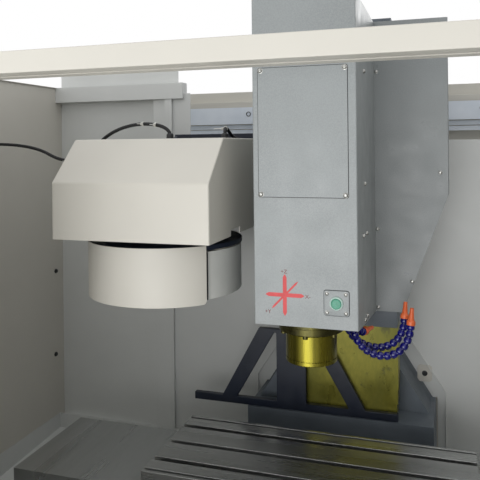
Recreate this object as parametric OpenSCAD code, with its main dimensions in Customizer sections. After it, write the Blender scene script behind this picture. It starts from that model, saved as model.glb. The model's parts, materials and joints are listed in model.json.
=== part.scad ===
// Vertical machining centre with a drum tool magazine, in millimetres, +Z up.
// The origin is on the floor in the middle of the footprint, and the operator stands at -Y.
// Inside the modules, X and Y are counted from the spindle's axis.

/* [Table and travels] */
// Length of the table along X
table_l = 800; // [700:10:860]
// Depth of the table along Y
table_d = 340; // [300:10:350]
// Thickness of the table
table_t = 90; // [80:5:110]
// Width of a T-slot's neck
tslot_w = 18; // [14:1:22]
// Distance from one T-slot to the next
tslot_pitch = 100; // [80:5:110]
// Travel of the table to each side
x_travel = 300; // [200:10:310]
// Travel of the saddle to the front and to the back
y_travel = 200; // [150:10:200]
// Travel of the head upwards from its place in the rest pose
z_up = 340; // [200:10:360]
// Travel of the head downwards from its place in the rest pose
z_down = 60; // [40:5:64]
// Height of the spindle's nose over the table in the rest pose
nose_gap = 260; // [258:2:300]

/* [Base and ways] */
// Height of the levelling feet
foot_h = 60; // [50:5:90]
// Distance of the levelling feet from the sides of the base
foot_inset = 60; // [55:5:80]
// Width of the base casting
bed_w = 580; // [570:5:584]
// Height of the way seats above the underside of the base
bed_h = 540; // [500:10:600]
// Height of the column's seat above the underside of the base
deck_h = 800; // [780:5:802]
// Thickness of the base over the way tunnel
deck_t = 60; // [50:5:64]
// Width of a linear way's rail
rail_w = 34; // [28:1:40]
// Height of a linear way with its block
way_h = 40; // [36:1:44]
// Distance of the saddle's rails from the sides of the base
way_inset = 120; // [115:5:130]
// Running clearance at the ways
way_gap = 0.4; // [0.3:0.1:0.8]
// Thickness of the saddle
saddle_t = 130; // [120:5:150]
// Depth of the saddle along Y
saddle_d = 300; // [280:5:305]
// Length of the saddle along X
saddle_l = 960; // [900:10:980]
// Diameter of the ball screws
screw_d = 32; // [25:1:36]

/* [Column] */
// Width of the column
column_w = 340; // [320:10:360]
// Depth of the column
column_d = 420; // [380:10:440]
// Distance from the spindle's axis to the column's front face
throat = 478; // [470:1:490]
// Height of the column's top above the spindle's nose
column_rise = 950; // [930:10:1000]
// Spread of the column's foot on each side
foot_spread = 105; // [90:5:110]

/* [Head] */
// Width of the head's cover
cover_w = 250; // [240:2:260]
// Offset of the cover's middle from the spindle's axis
cover_off = 11.5; // [8:0.5:14]
// Distance from the spindle's axis to the cover's front
cover_front = 125; // [120:1:135]
// Height of the cover's front edge above the spindle's nose
cover_rise = 116; // [110:1:125]
// Height of the cover's top above the spindle's nose
cover_top = 900; // [860:10:930]
// Drop of the cover's side edge from its front to its back
side_drop = 49; // [40:1:52]
// Distance from the spindle's axis to the wing plates
wing_y = 264; // [262:1:265]
// Reach of the right wing plate from the spindle's axis
wing_reach = 340; // [300:5:380]
// Thickness of the cover's sheet
sheet = 2.5; // [2:0.5:3]
// Width of the access panel
panel_w = 215; // [200:1:225]
// Height of the access panel
panel_h = 309; // [280:1:330]
// Height of the access panel's lower edge above the spindle's nose
panel_rise = 423; // [400:1:440]
// Side of the push-button plate
button_plate_w = 58; // [54:1:62]
// Diameter of the push button
button_d = 24; // [20:1:28]
// Travel of the push button
button_travel = 4; // [3:0.5:4.5]

/* [Spindle] */
// Diameter of the spindle's sleeve
sleeve_d = 130; // [124:1:136]
// Diameter of the spindle's flange
flange_d = 165; // [156:1:172]
// Height of the flange's underside above the nose
flange_rise = 80; // [74:1:86]
// Diameter of the rotating spindle nose
nose_d = 76; // [70:1:80]
// Length of the nose below the sleeve
nose_len = 12; // [10:1:15]
// Large diameter of the tool taper
taper_d = 44.45; // [40:0.05:46]

/* [Coolant hoses] */
// Outer diameter of a hose link
link_d = 21; // [18:0.5:22]
// Distance from one hose link to the next
link_pitch = 17; // [15:0.5:18]

/* [Tool magazine] */
// Distance from the spindle's axis to the magazine's axis
mag_x = 400; // [398:1:410]
// Radius of the magazine's skirt
skirt_r = 210; // [206:1:212]
// Height of the skirt
skirt_h = 145; // [135:1:150]
// Height of the skirt's top above the spindle's nose
skirt_rise = 300; // [298:1:302]
// Width of the magazine's cover
mag_cover_w = 420; // [416:1:424]
// Front of the magazine's cover, before its axis
mag_cover_front = 228; // [222:1:236]
// Back of the magazine's cover, behind its axis
mag_cover_back = 200; // [190:1:220]
// Height of the cover's upright front face
mag_face_h = 142; // [130:1:150]
// Depth of the cover's slanted face
mag_slant_d = 190; // [180:1:200]
// Rise of the cover's slanted face
mag_slant_h = 108; // [100:1:115]
// Number of tool grippers
gripper_n = 12; // [8:1:12]
// Radius of the circle of tool pockets
pocket_r = 155; // [150:1:158]
// Half angle of the shutter in degrees
shutter_half = 38; // [30:1:40]
// Travel of the magazine with the head at its rest height
mag_travel = 70; // [50:1:72]

/* [Enclosure] */
// Outer width of the enclosure
enclosure_w = 2320; // [2300:10:2400]
// Distance from the spindle's axis to the enclosure's front
front_y = 600; // [600:5:640]
// Distance from the spindle's axis to the rear splash wall
rear_y = 620; // [612:2:640]
// Height of the enclosure's tall walls above the spindle's nose
wall_rise = 788; // [780:4:820]
// Height of the sill below the doors
sill_h = 880; // [860:10:900]
// Clear width of the open doorway
doorway_w = 1100; // [1000:10:1120]
// Height of the header beam
header_h = 42; // [40:1:50]
// Depth of the header beam
header_d = 95; // [90:1:110]
// Height of the header's underside above the spindle's nose
header_rise = 686; // [680:2:720]
// Height of the panels' lower edge over the floor
skirting_h = 160; // [120:10:200]
// Thickness of a door leaf
door_t = 26; // [22:1:28]

/* [Electrical cabinet and tank] */
// Width of the electrical cabinet
cabinet_w = 1520; // [1450:10:1600]
// Depth of the electrical cabinet
cabinet_d = 340; // [300:10:380]
// Height of the cabinet's top above the spindle's nose
cabinet_rise = 774; // [760:2:800]
// Height of the cabinet's underside over the floor
cabinet_low = 300; // [250:10:400]
// Height of the coolant tank
tank_h = 330; // [280:10:360]

/* [Control box] */
// Width of the control box
box_w = 420; // [400:5:430]
// Height of the control box
box_h = 560; // [540:5:600]
// Depth of the control box
box_d = 130; // [110:5:150]

/* [Hidden] */
$fn = 64;

casting = [0.45, 0.48, 0.52];
cream = [0.82, 0.81, 0.77];
head_grey = [0.62, 0.63, 0.64];
wall_grey = [0.58, 0.58, 0.56];
dark_blue = [0.20, 0.24, 0.30];
steel = [0.72, 0.73, 0.74];
oiled = [0.68, 0.65, 0.25];
black = [0.12, 0.12, 0.13];

// Heights from the floor up
bed_top = foot_h + bed_h;
deck_top = foot_h + deck_h;
saddle_low = bed_top + way_h;
saddle_top = saddle_low + saddle_t;
table_low = saddle_top + way_h;
table_top = table_low + table_t;
nose_h = table_top + nose_gap;
column_top = nose_h + column_rise;

// Ways, screws and their covers
rail_h = way_h - 10;
rail_x = bed_w / 2 - way_inset;
x_rail_y = saddle_d / 2 - 45;
block_l = 100;
block_w = 74;
block_low = 8;
nut_w = 72;
screw_gap = 0.3;
motor_w = 130;
motor_l = 150;
seg_t = 2;
seg_gap = 0.6;
seg_pitch = seg_t + seg_gap;
seg_overlap = 15;
tunnel_end = 580;
deck_front = table_d / 2 + y_travel + 8;
bed_front = front_y - 42;
bed_back = throat + column_d;
y_screw_z = bed_top + 5;
x_screw_z = table_low - 5 - motor_w / 2;
x_channel = saddle_top - x_screw_z + nut_w / 2 + 6;
z_screw_y = throat + 18;
z_rail_x = column_w * 0.39;
y_motor = motor_l + 14 - bed_front;
tunnel_wall = 40;
y_hood_half = bed_w / 2 - tunnel_wall - 18;
y_hood_rise = 100;

// Head: the carriage in front of the ways, and the nose with the spindle
carriage_half = 195;
wing_left = -carriage_half;
carriage_front = wing_y + sheet;
carriage_back = throat - way_h + 2;
carriage_low = nose_h + 20;
carriage_top = nose_h + 560;
cover_x0 = cover_off - cover_w / 2;
cover_x1 = cover_off + cover_w / 2;
cover_low = nose_h + cover_rise;
cover_high = nose_h + cover_top;
casting_gap = 8;
nose_low = cover_low + 6;
flange_low = nose_h + flange_rise;
cartridge_r = flange_d / 2 - 12;
shaft_d = 60;
cartridge_top = nose_h + 400;
shaft_gap = 0.3;
motor_low = nose_h + 470;
z_cover_y = carriage_front + 140;
z_cover_half = 187;
panel_x = cover_off - 3;
panel_z = nose_h + panel_rise;
button_x = cover_x1 - 50.5;
button_z = cover_low + 62;
wing_screws = [[6, -38], [6, 187], [101, 41], [6, 640], [180, 350], [180, 700]];

// Lengths of the way covers, so that three of them span the way at both ends of the travel
y_overlap = min(seg_overlap, bed_front - saddle_d / 2 - 2 * y_travel - 1);
y_back_len = (tunnel_end - saddle_d / 2 + y_travel + 2 * y_overlap) / 3;
y_front_len = (bed_front - saddle_d / 2 + y_travel + 2 * y_overlap) / 3;
z_seg_len = (carriage_low - deck_top + z_up + 2 * seg_overlap) / 3;

// Coolant: the manifold's place, and the hoses' curves with heights above the nose
manifold_x = 84;
hose_top = nose_low - 24 - nose_h;
spigot_h = 3.6;
hose_start = hose_top - spigot_h;
hose_curves = [
    [[76, 96, hose_start], [64, 100, -4], [222, 114, -29], [223, 134, 86]],
    [[100, 72, hose_start], [75, 77, -13], [237, 85, -50], [241, 94, 82]],
    [[100, 118, hose_start], [102, 106, 70], [112, 96, 40], [118, 118, 50]]
];

// Frame in front of the column's foot
frame_x = -146;
frame_half = 332;
post_w = 96;
brace_w = 50;
brace_lean = 0.55;
brace_in = 56;
frame_y0 = deck_front + 6;
frame_y1 = z_cover_y - 4;

// Magazine
mag_low = nose_h + skirt_rise + 17;
fold_z = mag_low + mag_face_h;
mag_top = fold_z + mag_slant_h;
skirt_top = nose_h + skirt_rise;
skirt_low = skirt_top - skirt_h;
skirt_t = 3;
shutter_r = skirt_r - 6;
plate_t = 12;
disc_t = 18;
disc_z = skirt_top - 62;
hub_d = 50;
arm_low = nose_h + 432;
mag_rail_y = 130;
gland_places = [[-414, 60], [-280, 150]];
side_fold = enclosure_w / 2 - 9.5;
conduit_curves = [
    [
        [[-414, 60, 12], [-414, 60, 58], [-590, 60, 66], [-668, 84, -24]],
        [[-668, 84, -24], [-698, 93, -58], [-800, 150, -80], [-900, 180, -40]],
        [[-900, 180, -40], [-980, 204, -8], [60.5 - side_fold, 210, -6], [0.5 - side_fold, 210, -6]]
    ],
    [[[-280, 150, 12], [-280, 150, 64], [-350, throat - 90, 5], [-350, throat + 11.5, 5]]]
];

// Enclosure
half_w = enclosure_w / 2;
panel_t = 2;
panel_d = 38;
wall_top = nose_h + wall_rise;
header_low = nose_h + header_rise;
header_top = header_low + header_h;
door_w = half_w - doorway_w / 2 - 4;
door_y = front_y - panel_d - 6;
door_mid = door_t / 2 - door_y;
door_low = sill_h + 5;
door_high = header_low - 5;
window_w = door_w * 0.55;
window_h = (door_high - door_low) * 0.45;
window_z = door_low + (door_high - door_low) * 0.42;
wall_gap = 8;
recess_x = 733;
pan_low = 520;
pan_high = 640;
pan_rise = 60;
pan_front = panel_d + 2 - front_y;
pan_back = rear_y - 4;
drain_x = half_w - 240;
drain_y = pan_front + 160;
drain_d = 96;
track_w = 12;
groove_w = 10;
slide_gap = 0.3;
cabinet_y = bed_back + 52;
cabinet_high = nose_h + cabinet_rise;
cabinet_hinges = [cabinet_low + 150, (cabinet_low + cabinet_high) / 2, cabinet_high - 220];
switch_x = cabinet_w / 2 - 180;
switch_z = cabinet_low + 1050;

// Control box and what stands out of its front
box_x0 = half_w - 80 - box_w;
box_y = front_y + 10;
box_z = nose_h - 80;
box_front = box_y + box_d;
wheel_x = box_x0 + 95;
wheel_z = box_z + 100;
stop_x = box_x0 + box_w - 80;
stop_z = box_z + 100;
knob_x = box_x0 + box_w / 2 + 10;
knob_z = box_z + 75;
start_x = knob_x;
start_z = box_z + 135;
wheel_reach = 52;
hinge_x = box_x0 + box_w + 14;
hinge_y = box_y + 10;
hinge_heights = [box_z + 60, box_z + box_h - 120];
switch_reach = 34;
door_sheet = 20;

// The footprint's middle: from the handwheel's grip to the main switch's handle
reach_front = box_front + wheel_reach;
reach_back = cabinet_y + cabinet_d + door_sheet + switch_reach;
spindle_y = (reach_front - reach_back) / 2;

module placed() {
    translate([0, spindle_y, 0]) children();
}

// Box between two opposite corners
module span(a, b) {
    translate(a) cube([b[0] - a[0], b[1] - a[1], b[2] - a[2]]);
}

// Outline in X and Z, from y0 back to y1
module along_y(y0, y1) {
    translate([0, y1, 0]) rotate([90, 0, 0]) linear_extrude(y1 - y0) children();
}

// Outline in Y and Z, from x0 to x1
module along_x(x0, x1) {
    translate([x0, 0, 0]) rotate([90, 0, 90]) linear_extrude(x1 - x0) children();
}

module rod_x(x0, x1, y, z, d) {
    translate([x0, y, z]) rotate([0, 90, 0]) cylinder(h = x1 - x0, d = d);
}

module rod_y(y0, y1, x, z, d) {
    translate([x, y1, z]) rotate([90, 0, 0]) cylinder(h = y1 - y0, d = d);
}

module rod_z(z0, z1, x, y, d) {
    translate([x, y, z0]) cylinder(h = z1 - z0, d = d);
}

// Rectangle with round corners, centred
module rounded(w, h, r) {
    square([w - 2 * r, h], center = true);
    square([w, h - 2 * r], center = true);
    for (x = [-1, 1], y = [-1, 1]) translate([x * (w / 2 - r), y * (h / 2 - r)]) circle(r, $fn = 32);
}

// Rail with the undercut flanks of a linear guide
module rail_outline() {
    h = rail_h;
    polygon([
        [-rail_w / 2, 0], [rail_w / 2, 0], [rail_w / 2, h * 0.45], [rail_w / 2 - 5, h * 0.6],
        [rail_w / 2, h * 0.75], [rail_w / 2, h], [-rail_w / 2, h], [-rail_w / 2, h * 0.75],
        [-rail_w / 2 + 5, h * 0.6], [-rail_w / 2, h * 0.45]
    ]);
}

// Block that rides on a rail: its top is at way_h over the rail's seat
module block_outline() {
    difference() {
        translate([-block_w / 2, block_low]) square([block_w, way_h - block_low]);
        translate([-rail_w / 2 - way_gap, 0]) square([rail_w + 2 * way_gap, rail_h + way_gap]);
    }
}

// Frame of the machine: the base with its ways, the feet, the column and the fixed motors

module bed_profile() {
    polygon([
        [-bed_front, foot_h], [bed_back, foot_h], [bed_back, deck_top], [deck_front, deck_top],
        [deck_front, deck_top - deck_t], [tunnel_end, deck_top - deck_t], [tunnel_end, bed_top],
        [-bed_front, bed_top]
    ]);
}

module base() placed() color(casting) {
    pocket_n = 6;
    pocket_step = (bed_back + bed_front - 60) / pocket_n;
    difference() {
        along_x(-bed_w / 2, bed_w / 2) bed_profile();
        // ribbed underside
        for (i = [0 : pocket_n - 1], s = [-1, 1])
            translate([s * bed_w / 4 - 100, 50 - bed_front + i * pocket_step, foot_h - 1])
                cube([200, pocket_step - 45, bed_h - 119]);
        // channel and motor pocket of the Y screw
        span([-nut_w / 2 - 12, -bed_front - 1, bed_top - 50], [nut_w / 2 + 12, tunnel_end, bed_top + 1]);
        span([-motor_w / 2 - 8, -bed_front - 1, y_screw_z - motor_w / 2 - 8],
            [motor_w / 2 + 8, y_motor, bed_top + 1]);
        // lifting holes and shallow panels in both flanks
        for (y = [-0.5, 0.6]) rod_x(-bed_w, bed_w, y * front_y, foot_h + 80, 60);
        for (s = [-1, 1], y = [-0.55, 0, 0.55])
            translate([s * bed_w / 2, y * front_y, foot_h + bed_h * 0.55])
                cube([30, 220, 240], center = true);
    }
    // side walls of the tunnel under the deck
    for (s = [-1, 1])
        translate([s * (bed_w - tunnel_wall) / 2 - tunnel_wall / 2, deck_front, bed_top])
            cube([tunnel_wall, tunnel_end - deck_front, deck_h - deck_t - bed_h]);
    // rails of the Y axis
    for (s = [-1, 1])
        along_y(20 - bed_front, tunnel_end - 5) translate([s * rail_x, bed_top]) rail_outline();
    // bearing blocks of the Y screw
    for (y = [y_motor, tunnel_end - 34]) difference() {
        span([-nut_w / 2 - 12, y, bed_top - 50], [nut_w / 2 + 12, y + 30, y_screw_z + screw_d / 2 + 12]);
        rod_y(y - 1, y + 31, 0, y_screw_z, screw_d + 2 * screw_gap);
    }
}

module levelling_feet() placed() color(steel) {
    for (x = [-1, 1], y = [90 - bed_front, (bed_back - bed_front) / 2, bed_back - 90])
        translate([x * (bed_w / 2 - foot_inset), y, 0]) {
            cylinder(h = 16, d = 110);
            translate([0, 0, 16]) cylinder(h = 12, d1 = 80, d2 = 44);
            translate([0, 0, 28]) cylinder(h = foot_h - 28, d = 30);
        }
}

module column() placed() color(casting) {
    rib_h = (column_top - deck_top - 140) / 5;
    foot_rise = foot_spread * 1.5;
    difference() {
        along_y(throat, bed_back) polygon([
            [-column_w / 2 - foot_spread, deck_top], [column_w / 2 + foot_spread, deck_top],
            [column_w / 2, deck_top + foot_rise], [column_w / 2, column_top],
            [-column_w / 2, column_top], [-column_w / 2, deck_top + foot_rise]
        ]);
        // channel of the Z screw
        span([-nut_w / 2 - 14, throat - 1, deck_top + 60], [nut_w / 2 + 14, throat + 66, column_top + 1]);
        // cored pockets between the ribs at the back
        for (i = [0 : 4], s = [-1, 1])
            translate([s * column_w / 4 - 62, bed_back - 190, deck_top + 80 + i * rib_h])
                cube([124, 191, rib_h - 40]);
    }
    for (s = [-1, 1])
        translate([s * z_rail_x, throat, deck_top + 30])
            linear_extrude(column_top - deck_top - 40) mirror([0, 1]) rail_outline();
    // motor bracket at the top and bearing block at the bottom of the Z screw
    for (z = [[column_top - 26, -52, 90], [deck_top + 60, 0, 66]]) difference() {
        span([-nut_w / 2 - 14, throat + z[1], z[0]], [nut_w / 2 + 14, throat + z[2], z[0] + 26]);
        rod_z(z[0] - 1, z[0] + 27, 0, z_screw_y, screw_d + 2 * screw_gap);
    }
}

// Servo motor with its shaft end at the origin, pointing along +Z
module servo() {
    translate([0, 0, -14]) linear_extrude(14) rounded(motor_w, motor_w, 12);
    translate([0, 0, 44 - motor_l]) linear_extrude(motor_l - 58) rounded(motor_w - 14, motor_w - 14, 18);
    translate([0, 0, -motor_l]) cylinder(h = 44, d = motor_w - 34);
    translate([0, motor_w / 2 - 16, 70 - motor_l]) rotate([-90, 0, 0]) cylinder(h = 15, d = 24);
}

module servo_motors() placed() color(black) {
    translate([0, y_motor, y_screw_z]) rotate([-90, 180, 0]) servo();
    translate([0, z_screw_y, column_top]) rotate([180, 0, 0]) servo();
}

// Welded frame on the deck, before the foot of the way covers
module brace_frame() placed() color(dark_blue) {
    cap = carriage_low - z_down - 5;
    rise = cap - deck_top;
    foot_in = brace_in + brace_lean * rise;
    at_beam = foot_in - brace_lean * 24;
    along_y(frame_y0, frame_y1) translate([frame_x, deck_top]) difference() {
        polygon([
            [-frame_half, 0], [frame_half, 0], [frame_half, 24], [at_beam + brace_w, 24],
            [brace_in + brace_w, rise], [-brace_in - brace_w, rise], [-at_beam - brace_w, 24],
            [-frame_half, 24]
        ]);
        for (s = [0, 1]) mirror([s, 0])
            polygon([[post_w / 2, 24], [at_beam, 24], [brace_in, rise - 12], [post_w / 2, rise - 12]]);
    }
}

// Covers over the ways: hoods and channels that slide into each other

// Hood of the Y ways, seen along Y; level 0 is the outermost
module y_hood(level) {
    half = y_hood_half - level * seg_pitch;
    top = bed_top + y_hood_rise - level * seg_pitch;
    low = bed_top + (level < 2 ? 6 : 0);
    difference() {
        translate([-half, low]) square([2 * half, top - low]);
        translate([-half + seg_t, low - 1]) square([2 * (half - seg_t), top - low + 1 - seg_t]);
    }
}

// Channel of the Z ways, seen along Z; level 0 is the outermost
module z_channel(level) {
    half = z_cover_half - level * seg_pitch;
    front = z_cover_y + level * seg_pitch;
    difference() {
        translate([-half, front]) square([2 * half, throat - 4 - front]);
        translate([-half + seg_t, front + seg_t]) square([2 * (half - seg_t), throat]);
    }
}

module way_covers_fixed() placed() color(oiled) {
    along_y(tunnel_end - y_back_len, tunnel_end) y_hood(2);
    along_y(-bed_front, y_front_len - bed_front) y_hood(2);
    translate([0, 0, deck_top]) linear_extrude(z_seg_len) z_channel(2);
}

module y_covers_saddle() placed() color(oiled) {
    along_y(saddle_d / 2, saddle_d / 2 + y_back_len) y_hood(0);
    along_y(-saddle_d / 2 - y_front_len, -saddle_d / 2) y_hood(0);
}

module y_covers_middle() placed() color(oiled) {
    back = saddle_d / 2 + y_back_len - y_overlap - y_travel / 2;
    front = saddle_d / 2 + y_front_len - y_overlap - y_travel / 2;
    along_y(back, back + y_back_len) y_hood(1);
    along_y(-front - y_front_len, -front) y_hood(1);
}

module z_cover_upper() placed() color(oiled) {
    translate([0, 0, carriage_low - z_seg_len]) linear_extrude(z_seg_len) z_channel(0);
}

module z_cover_middle() placed() color(oiled) {
    translate([0, 0, deck_top + z_seg_len - seg_overlap - z_up / 2])
        linear_extrude(z_seg_len) z_channel(1);
}

// Saddle, table and ball screws

module saddle() placed() color(casting) {
    block_y = saddle_d / 2 - block_l / 2 - 5;
    end_t = x_channel + 16;
    difference() {
        along_y(-saddle_d / 2, saddle_d / 2) polygon([
            [-saddle_l / 2, saddle_top], [-saddle_l / 2, saddle_top - end_t],
            [tunnel_wall - bed_w / 2, saddle_low], [bed_w / 2 - tunnel_wall, saddle_low],
            [saddle_l / 2, saddle_top - end_t], [saddle_l / 2, saddle_top]
        ]);
        span([-saddle_l, -nut_w / 2 - 12, saddle_top - x_channel],
            [saddle_l, nut_w / 2 + 12, saddle_top + 1]);
        // cored windows in the flanks of the wings
        for (s = [-1, 1]) translate([s * saddle_l * 0.36, 0, saddle_top - 38])
            cube([110, saddle_d - 120, 30], center = true);
    }
    for (x = [-1, 1], y = [-1, 1])
        along_y(y * block_y - block_l / 2, y * block_y + block_l / 2)
            translate([x * rail_x, bed_top]) block_outline();
    difference() {
        span([-nut_w / 2, -50, y_screw_z - nut_w / 2], [nut_w / 2, 50, saddle_low]);
        rod_y(-51, 51, 0, y_screw_z, screw_d + 2 * screw_gap);
    }
    for (y = [-1, 1]) along_x(-saddle_l / 2, saddle_l / 2)
        translate([y * x_rail_y, saddle_top]) rail_outline();
    for (x = [-saddle_l / 2, saddle_l / 2 - 30]) difference() {
        span([x, -nut_w / 2 - 12, saddle_top - x_channel],
            [x + 30, nut_w / 2 + 12, x_screw_z + screw_d / 2 + 10]);
        rod_x(x - 1, x + 31, 0, x_screw_z, screw_d + 2 * screw_gap);
    }
}

module x_servo_motor() placed() color(black) {
    translate([saddle_l / 2, 0, x_screw_z]) rotate([0, -90, 0]) rotate([0, 0, 90]) servo();
}

module x_screw() placed() color(steel) {
    rod_x(-saddle_l / 2 - 8, saddle_l / 2 - 0.5, 0, x_screw_z, screw_d);
}

module y_screw() placed() color(steel) {
    rod_y(y_motor + 0.5, tunnel_end - 2, 0, y_screw_z, screw_d);
}

module z_screw() placed() color(steel) {
    rod_z(deck_top + 61, column_top - 0.5, 0, z_screw_y, screw_d);
}

module table() placed() color(steel) {
    block_x = saddle_l / 2 - x_travel - block_l / 2;
    difference() {
        span([-table_l / 2, -table_d / 2, table_low], [table_l / 2, table_d / 2, table_top]);
        for (i = [-1 : 1]) translate([0, i * tslot_pitch, 0]) {
            span([-table_l, -tslot_w / 2, table_top - 30], [table_l, tslot_w / 2, table_top + 1]);
            span([-table_l, -tslot_w * 0.85, table_top - 30], [table_l, tslot_w * 0.85, table_top - 16]);
        }
        // chip gutter before and behind the slots
        for (s = [-1, 1]) translate([-table_l, s * (table_d / 2 - 14) - 5, table_top - 8])
            cube([2 * table_l, 10, 9]);
    }
    for (x = [-1, 1], y = [-1, 1])
        along_x(x * block_x - block_l / 2, x * block_x + block_l / 2)
            translate([y * x_rail_y, saddle_top]) block_outline();
    difference() {
        span([-50, -nut_w / 2, x_screw_z - nut_w / 2], [50, nut_w / 2, table_low]);
        rod_x(-51, 51, 0, x_screw_z, screw_d + 2 * screw_gap);
    }
}

module x_way_covers() placed() color(oiled) {
    reach = x_travel + saddle_l / 2 - table_l / 2;
    half = saddle_d / 2 + 15;
    top = table_low + 40;
    for (x = [-table_l / 2 - reach, table_l / 2]) along_x(x, x + reach) difference() {
        translate([-half, saddle_top - 60]) square([2 * half, top - saddle_top + 60]);
        translate([-half + seg_t, saddle_top - 61])
            square([2 * (half - seg_t), top - saddle_top + 61 - seg_t]);
    }
}

// Head: casting, spindle, sheet covers and coolant

module headstock() placed() color(dark_blue) {
    nose_x0 = cover_x0 + casting_gap;
    nose_x1 = cover_x1 - casting_gap;
    nose_y = casting_gap - cover_front;
    difference() {
        union() {
            span([-carriage_half, carriage_front, carriage_low],
                [carriage_half, carriage_back, carriage_top]);
            along_x(nose_x0, nose_x1) polygon([
                [nose_y, nose_low], [nose_y, motor_low - 40], [nose_y + 40, motor_low], [110, motor_low],
                [carriage_front, carriage_top], [carriage_front, carriage_low + 60], [150, nose_low]
            ]);
        }
        rod_z(nose_low - 60, cartridge_top, 0, 0, 2 * cartridge_r);
        rod_z(cartridge_top - 1, motor_low + 1, 0, 0, shaft_d + 30);
    }
    for (x = [-1, 1], z = [carriage_low + 10, carriage_top - 10 - block_l])
        translate([x * z_rail_x, throat, z]) linear_extrude(block_l) mirror([0, 1]) block_outline();
    difference() {
        span([-nut_w / 2, carriage_back, carriage_low + 200],
            [nut_w / 2, z_screw_y + nut_w / 2 - 6, carriage_low + 300]);
        rod_z(carriage_low + 199, carriage_low + 301, 0, z_screw_y, screw_d + 2 * screw_gap);
    }
}

module spindle_housing() placed() color(oiled) {
    difference() {
        union() {
            rotate_extrude() polygon([
                [0, nose_h], [sleeve_d / 2 - 2, nose_h], [sleeve_d / 2, nose_h + 2],
                [sleeve_d / 2, nose_h + 11], [sleeve_d / 2 - 1.5, nose_h + 11],
                [sleeve_d / 2 - 1.5, nose_h + 13], [sleeve_d / 2, nose_h + 13],
                [sleeve_d / 2, flange_low], [flange_d / 2 - 2, flange_low],
                [flange_d / 2, flange_low + 2], [flange_d / 2, nose_low],
                [cartridge_r - 0.2, nose_low], [cartridge_r - 0.2, cartridge_top - 5],
                [0, cartridge_top - 5]
            ]);
            for (a = [30 : 60 : 330]) rotate(a)
                translate([(sleeve_d + flange_d) / 4, 0, flange_low - 8]) cylinder(h = 12, d = 13);
        }
        rod_z(nose_h - 1, nose_h + 34 + shaft_gap, 0, 0, nose_d + 2 * shaft_gap);
        rod_z(nose_h, cartridge_top, 0, 0, shaft_d + 2 * shaft_gap);
    }
}

module spindle_shaft() placed() color(steel) {
    face = nose_h - nose_len + 4;
    taper_l = taper_d * 1.47;
    difference() {
        union() {
            rod_z(face, nose_h + 34, 0, 0, nose_d);
            rod_z(nose_h + 33, motor_low - 0.5, 0, 0, shaft_d);
            for (s = [-1, 1]) translate([s * (nose_d + taper_d) / 4 - 6, -8, nose_h - nose_len])
                cube([12, 16, 6]);
        }
        translate([0, 0, face - 0.01]) cylinder(h = taper_l, d1 = taper_d, d2 = taper_d - taper_l * 7 / 24);
        rod_z(face, motor_low, 0, 0, 20);
    }
}

module spindle_motor() placed() color(black) {
    half = min(-cover_x0, cover_x1) - sheet - 14;
    translate([0, 0, motor_low]) linear_extrude(24) rounded(2 * half, 2 * half, 10);
    translate([0, 0, motor_low + 24]) linear_extrude(220) rounded(2 * half - 12, 2 * half - 12, 26);
    rod_z(motor_low + 244, motor_low + 300, 0, 0, 2 * half - 40);
    rod_z(motor_low + 300, cover_high - 40, 0, 0, 2 * half - 70);
}

// Front and side outline of the cover, seen along X
module cover_side(inset) {
    polygon([
        [inset - cover_front, cover_low - 40 * inset], [wing_y + inset, cover_low - side_drop - 40 * inset],
        [wing_y + inset, cover_high - inset], [inset - cover_front, cover_high - inset]
    ]);
}

module head_cover() placed() color(head_grey) {
    lip = 12;
    difference() {
        along_x(cover_x0, cover_x1) cover_side(0);
        along_x(cover_x0 + sheet, cover_x1 - sheet) cover_side(sheet);
        // hole behind the access panel, and the button's hole
        span([panel_x - panel_w / 2 + lip, -cover_front - 1, panel_z + lip],
            [panel_x + panel_w / 2 - lip, -cover_front + 5, panel_z + panel_h - lip]);
        rod_y(-cover_front - 1, -cover_front + 5, button_x, button_z, button_d + 6);
    }
}

module access_panel() placed() color(head_grey) {
    along_y(-cover_front - 2, -cover_front) translate([panel_x, panel_z + panel_h / 2])
        rounded(panel_w, panel_h, 4);
}

module head_wings() placed() color(head_grey) {
    low = cover_low - side_drop;
    slant = wing_reach - (cover_x1 + 74);
    along_y(wing_y, wing_y + sheet) {
        polygon([
            [cover_x1 - 6, low], [cover_x1 + 74, low], [wing_reach, low + slant * 2.64],
            [wing_reach, cover_high], [cover_x1 - 6, cover_high]
        ]);
        polygon([
            [cover_x0 + 6, low], [wing_left, low], [wing_left, cover_high], [cover_x0 + 6, cover_high]
        ]);
    }
    // folded outer edges
    span([wing_reach - sheet, wing_y, low + slant * 2.64], [wing_reach, wing_y + 20, cover_high]);
    span([wing_left, wing_y, carriage_top + 5], [wing_left + sheet, wing_y + 20, cover_high]);
}

module button_plate() placed() color(head_grey) {
    difference() {
        union() {
            along_y(-cover_front - 3, -cover_front) translate([button_x, button_z])
                rounded(button_plate_w, button_plate_w, 5);
            rod_y(-cover_front - 9, -cover_front - 3, button_x, button_z, button_d + 7);
        }
        rod_y(-cover_front - 10, -cover_front + 1, button_x, button_z, button_d + 2 * shaft_gap);
    }
}

module unclamp_button() placed() color([0.15, 0.5, 0.42]) {
    rod_y(-cover_front - 11, -cover_front + 2, button_x, button_z, button_d);
}

// Screw with a domed socket head that stands on a face and points to the front
module cap_screw(d) {
    difference() {
        rotate([90, 0, 0]) cylinder(h = d * 0.45, d1 = d, d2 = d * 0.62, $fn = 24);
        translate([0, -d * 0.15, 0]) rotate([90, 0, 0]) cylinder(h = d, d = d * 0.36, $fn = 6);
    }
}

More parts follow.
